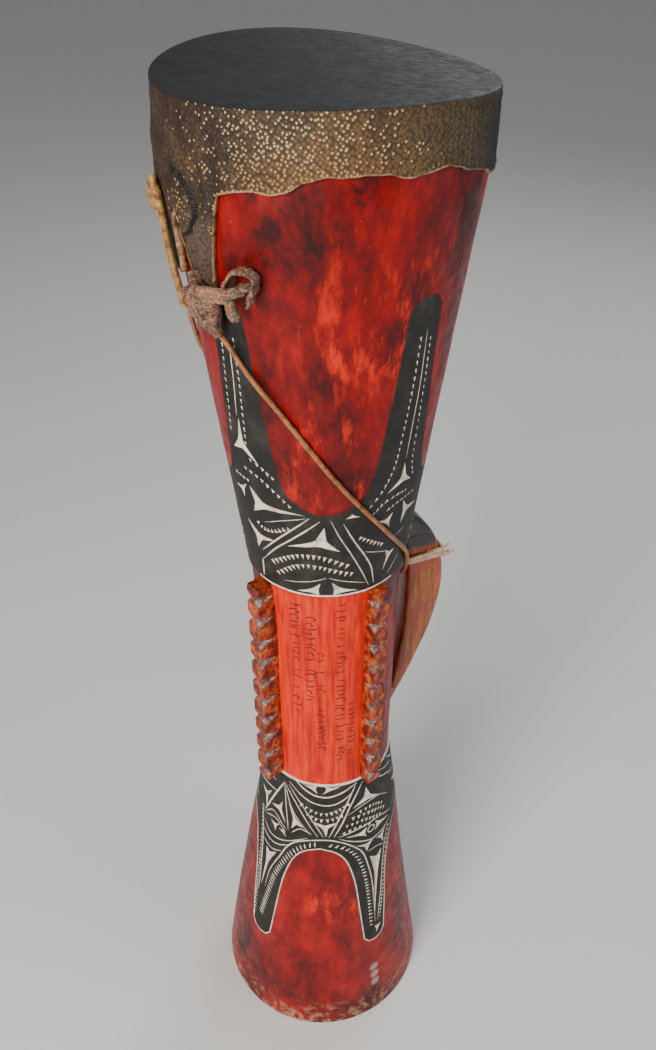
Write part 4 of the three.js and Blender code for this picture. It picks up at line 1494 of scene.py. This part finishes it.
def knot_finish():
    """Dried skin of many tones, dark in its creases, redder on the band over the knot."""
    f = Finish("knot_finish", roughness=0.72, specular=0.3)
    tone = f.noise(4, 6, 0.7, seed=101)
    f.under(tone, (0.34, 0.50, 0.66), (0.050, 0.026, 0.016), (0.20, 0.118, 0.078), (0.42, 0.29, 0.20))
    f.over(f.span(f.noise(6, 3, seed=102), 0.48, 0.62), (0.42, 0.19, 0.10), 0.55)
    creases = f.math("SUBTRACT", f.noise(1.9, 5, 0.6, seed=104), 0.5)
    creases = f.span(f.math("ABSOLUTE", creases), 0.03, 0.0)
    f.over(creases, (0.045, 0.022, 0.014), 0.5)
    f.over(f.near(knot_place((11, 5, 11)), 6, 3), (0.46, 0.23, 0.15), 0.65)
    return f.done((creases, -0.3), (f.noise(1.6, 5, 0.6, seed=103), 0.35))


# ---- Cane and fibre ----

STRAP_ROUTE = (
    (-156, 524.5), (-146, 511), (-133.7, 496), (-109, 460), (-82, 427), (-61, 405), (-49, 393), (-25, 370),
    (-12, STRAP_SLOT_HEIGHT + 3), (0, STRAP_SLOT_HEIGHT), (12, STRAP_SLOT_HEIGHT + 3), (30, 368), (60, 394),
    (90, 420), (115, 447), (138, 477), (153, 500), (165, 518), (174, 528),
)


def make_strap():
    in_slot = WAIST_R + GAP + CANE / 2 + 0.5
    points = []
    for bearing, z in STRAP_ROUTE:
        radius = body_radius(z) + CANE / 2 + 0.5
        points.append(around(bearing, max(in_slot, radius) if z < PANEL_TOP else radius, z))
    points.insert(0, knot_place((3.6, -2.6, -12)))
    points.append(knot_place((3.6, -23, -1)))
    path = smooth_line(points, 1.6)

    def thickness(t):
        node = max(0.0, 1 - abs((t * 9) % 1 - 0.5) * 60) * 0.12
        return CANE / 2 * (1 + node)

    brown = cane_finish("strap_cane", 111, (0.12, 0.036, 0.008), (0.30, 0.105, 0.026), (0.46, 0.20, 0.062))
    strap = make_object("cane_strap_bent", *tube(path, thickness, 14, flat=0.82), [brown])
    wrinkle(strap, ((6, 0.08, 31, False), (1.5, 0.04, 32, False)))
    stand_for(strap, "cane", "cane_strap")


def make_loop():
    stand_off = GAP + SKIN + GAP + 3.2
    strands = []
    for aside, top in ((-1.15, 583), (1.15, 580)):
        path = []
        for t in np.linspace(0, 1, 40):
            z = lerp(533, top, t)
            bearing = lerp(-179, -184.5, t**0.9) + aside * 0.9 + 0.5 * math.sin(7 * t)
            path.append(around(bearing, body_radius(z) + stand_off + 0.4 * math.sin(5 * t), z))
        strands.append(tube(path, lambda t: 1.3 + 0.25 * smoothstep(t, 0.8, 1), 12))
    z = 579
    middle = around(-185.0, body_radius(z) + stand_off + 0.6, z)
    knob = ellipsoid(middle, (2.6, 3.3, 7.0), 24, 16)
    tan = cane_finish("loop_cane", 112, (0.10, 0.040, 0.010), (0.32, 0.150, 0.040), (0.58, 0.34, 0.110))
    loop = make_object("cane_loop_doubled", *joined(*strands, knob), [tan])
    fuse(loop, 0.35, 1)
    wrinkle(loop, ((3, 0.18, 33, False), (1.1, 0.14, 34, True)))
    stand_for(loop, "cane", "cane_loop")


def cane_finish(name, seed, *colours):
    """Cane of three tones, with dark flecks."""
    f = Finish(name, roughness=0.42, specular=0.5, coat=0.1)
    f.under(f.noise(3.2, 5, 0.65, seed=seed), (0.34, 0.50, 0.68), *colours)
    f.over(f.span(f.noise(1.3, 4, 0.7, seed=113), 0.62, 0.72), (0.10, 0.045, 0.02))
    return f.done((f.noise(0.9, 4, 0.6, seed=114), 0.16))


def around_handle(z, clear, tilt):
    """A closed path about the handle at a height, `clear` of the wood, rising by `tilt` to its outside."""
    low, high = handle_inner(z) - clear, handle_outer(z) + clear
    outline = rounded_section(low, high, HANDLE_WIDTH / 2 + clear, 2.6, 4)
    path = [Vector((x, y, z + tilt * (x - low) / (high - low))) for x, y in outline]
    return path + path[:1]


def make_lashing():
    """Four turns about the handle, and five loose ends that fork and fan out from its side."""
    random.seed(21)
    parts = []
    for z in (361.0, 362.2, 363.4, 364.6):
        parts.append(tube(around_handle(z, GAP + 0.75, random.uniform(-0.3, 0.5)), 0.72, 10))
    for i in range(5):
        side = -HANDLE_WIDTH / 2 - 1.2 + 0.3 * i
        reach = random.uniform(70.5, 77)
        z = 361.4 + 0.9 * i
        drop = random.uniform(-3.4, 0.6)
        parting = (reach - 5, side - 1.6 + 0.8 * i, z + drop * 0.5)
        end = [(handle_outer(z) - 9, side, z), (handle_outer(z) - 2, side - 0.3, z + 0.3), parting]
        end.append((reach, side - 1.8 + 1.2 * i, z + drop))
        parts.append(tube(smooth_line(end, 0.8), lambda t: 0.55 - 0.2 * t, 10))
        fork = [parting, (reach - 0.6, side - 2.6 + 0.9 * i, z + drop * 0.2 + 1.2)]
        parts.append(tube(smooth_line(fork, 0.8), lambda t: 0.42 - 0.1 * t, 8))
    lashing = make_object("fibre_lashing", *joined(*parts), [fibre_finish()])
    fuse(lashing, 0.22, 1)
    stand_for(lashing, "fibre", "handle_lashing")


def fibre_finish():
    f = Finish("fibre_finish", roughness=0.7, specular=0.3)
    tone = f.noise(1.6, 5, 0.7, stretch=(0.3, 1, 1), seed=121)
    f.under(tone, (0.34, 0.50, 0.68), (0.30, 0.16, 0.095), (0.62, 0.40, 0.27), (0.80, 0.60, 0.45))
    return f.done((f.noise(0.5, 3, stretch=(0.25, 1, 1), seed=122), 0.15))


# ---- Floor, light and camera ----


def make_stage():
    paint = Finish("floor_paint", roughness=0.75, specular=0.2)
    paint.base = (0.74, 0.73, 0.71, 1)
    reach = 9000
    corners = [(-reach, -reach, 0), (reach, -reach, 0), (reach, reach, 0), (-reach, reach, 0)]
    floor = make_object("floor", corners, [(0, 1, 2, 3)], [paint.done()])
    world = bpy.data.worlds.new("studio")
    world.use_nodes = True
    background = world.node_tree.nodes["Background"].inputs
    background["Color"].default_value = (0.90, 0.92, 0.95, 1)
    background["Strength"].default_value = 0.26
    bpy.context.scene.world = world


def add_light(name, bearing, distance, height, size, power, colour, aim=320.0):
    """A square soft light that faces the drum. Its bearing is from the camera's, to the right."""
    data = bpy.data.lights.new(name, "AREA")
    data.size = size * MM
    data.energy = power
    data.color = colour
    light = bpy.data.objects.new(name, data)
    bpy.context.scene.collection.objects.link(light)
    place = around(FRONT + bearing, distance, height) * MM
    light.location = place
    light.rotation_euler = (Vector((0, 0, aim * MM)) - place).to_track_quat("-Z", "Y").to_euler()


def make_lights():
    add_light("key", -30, 1250, 1000, 650, 27, (1.0, 0.96, 0.90))
    add_light("fill", 70, 1300, 800, 900, 6, (0.86, 0.92, 1.0))
    add_light("back", 150, 1200, 1300, 700, 8, (0.95, 0.97, 1.0))


def make_camera():
    data = bpy.data.cameras.new("camera")
    data.lens = CAMERA_LENS
    camera = bpy.data.objects.new("camera", data)
    bpy.context.scene.collection.objects.link(camera)
    turn = math.radians(CAMERA_AZIMUTH)
    right = Vector((math.cos(turn), math.sin(turn), 0))
    back = Vector((math.sin(turn), -math.cos(turn), 0))
    place = back * CAMERA_DISTANCE + right * CAMERA_ASIDE + Vector((0, 0, CAMERA_HEIGHT))
    camera.location = place * MM
    camera.rotation_euler = (math.radians(90 - CAMERA_PITCH), 0, turn)
    bpy.context.scene.camera = camera


make_camera()
make_stage()
make_lights()
make_log()
make_skin()
make_knot()
make_strap()
make_loop()
make_lashing()

bpy.context.view_layer.update()
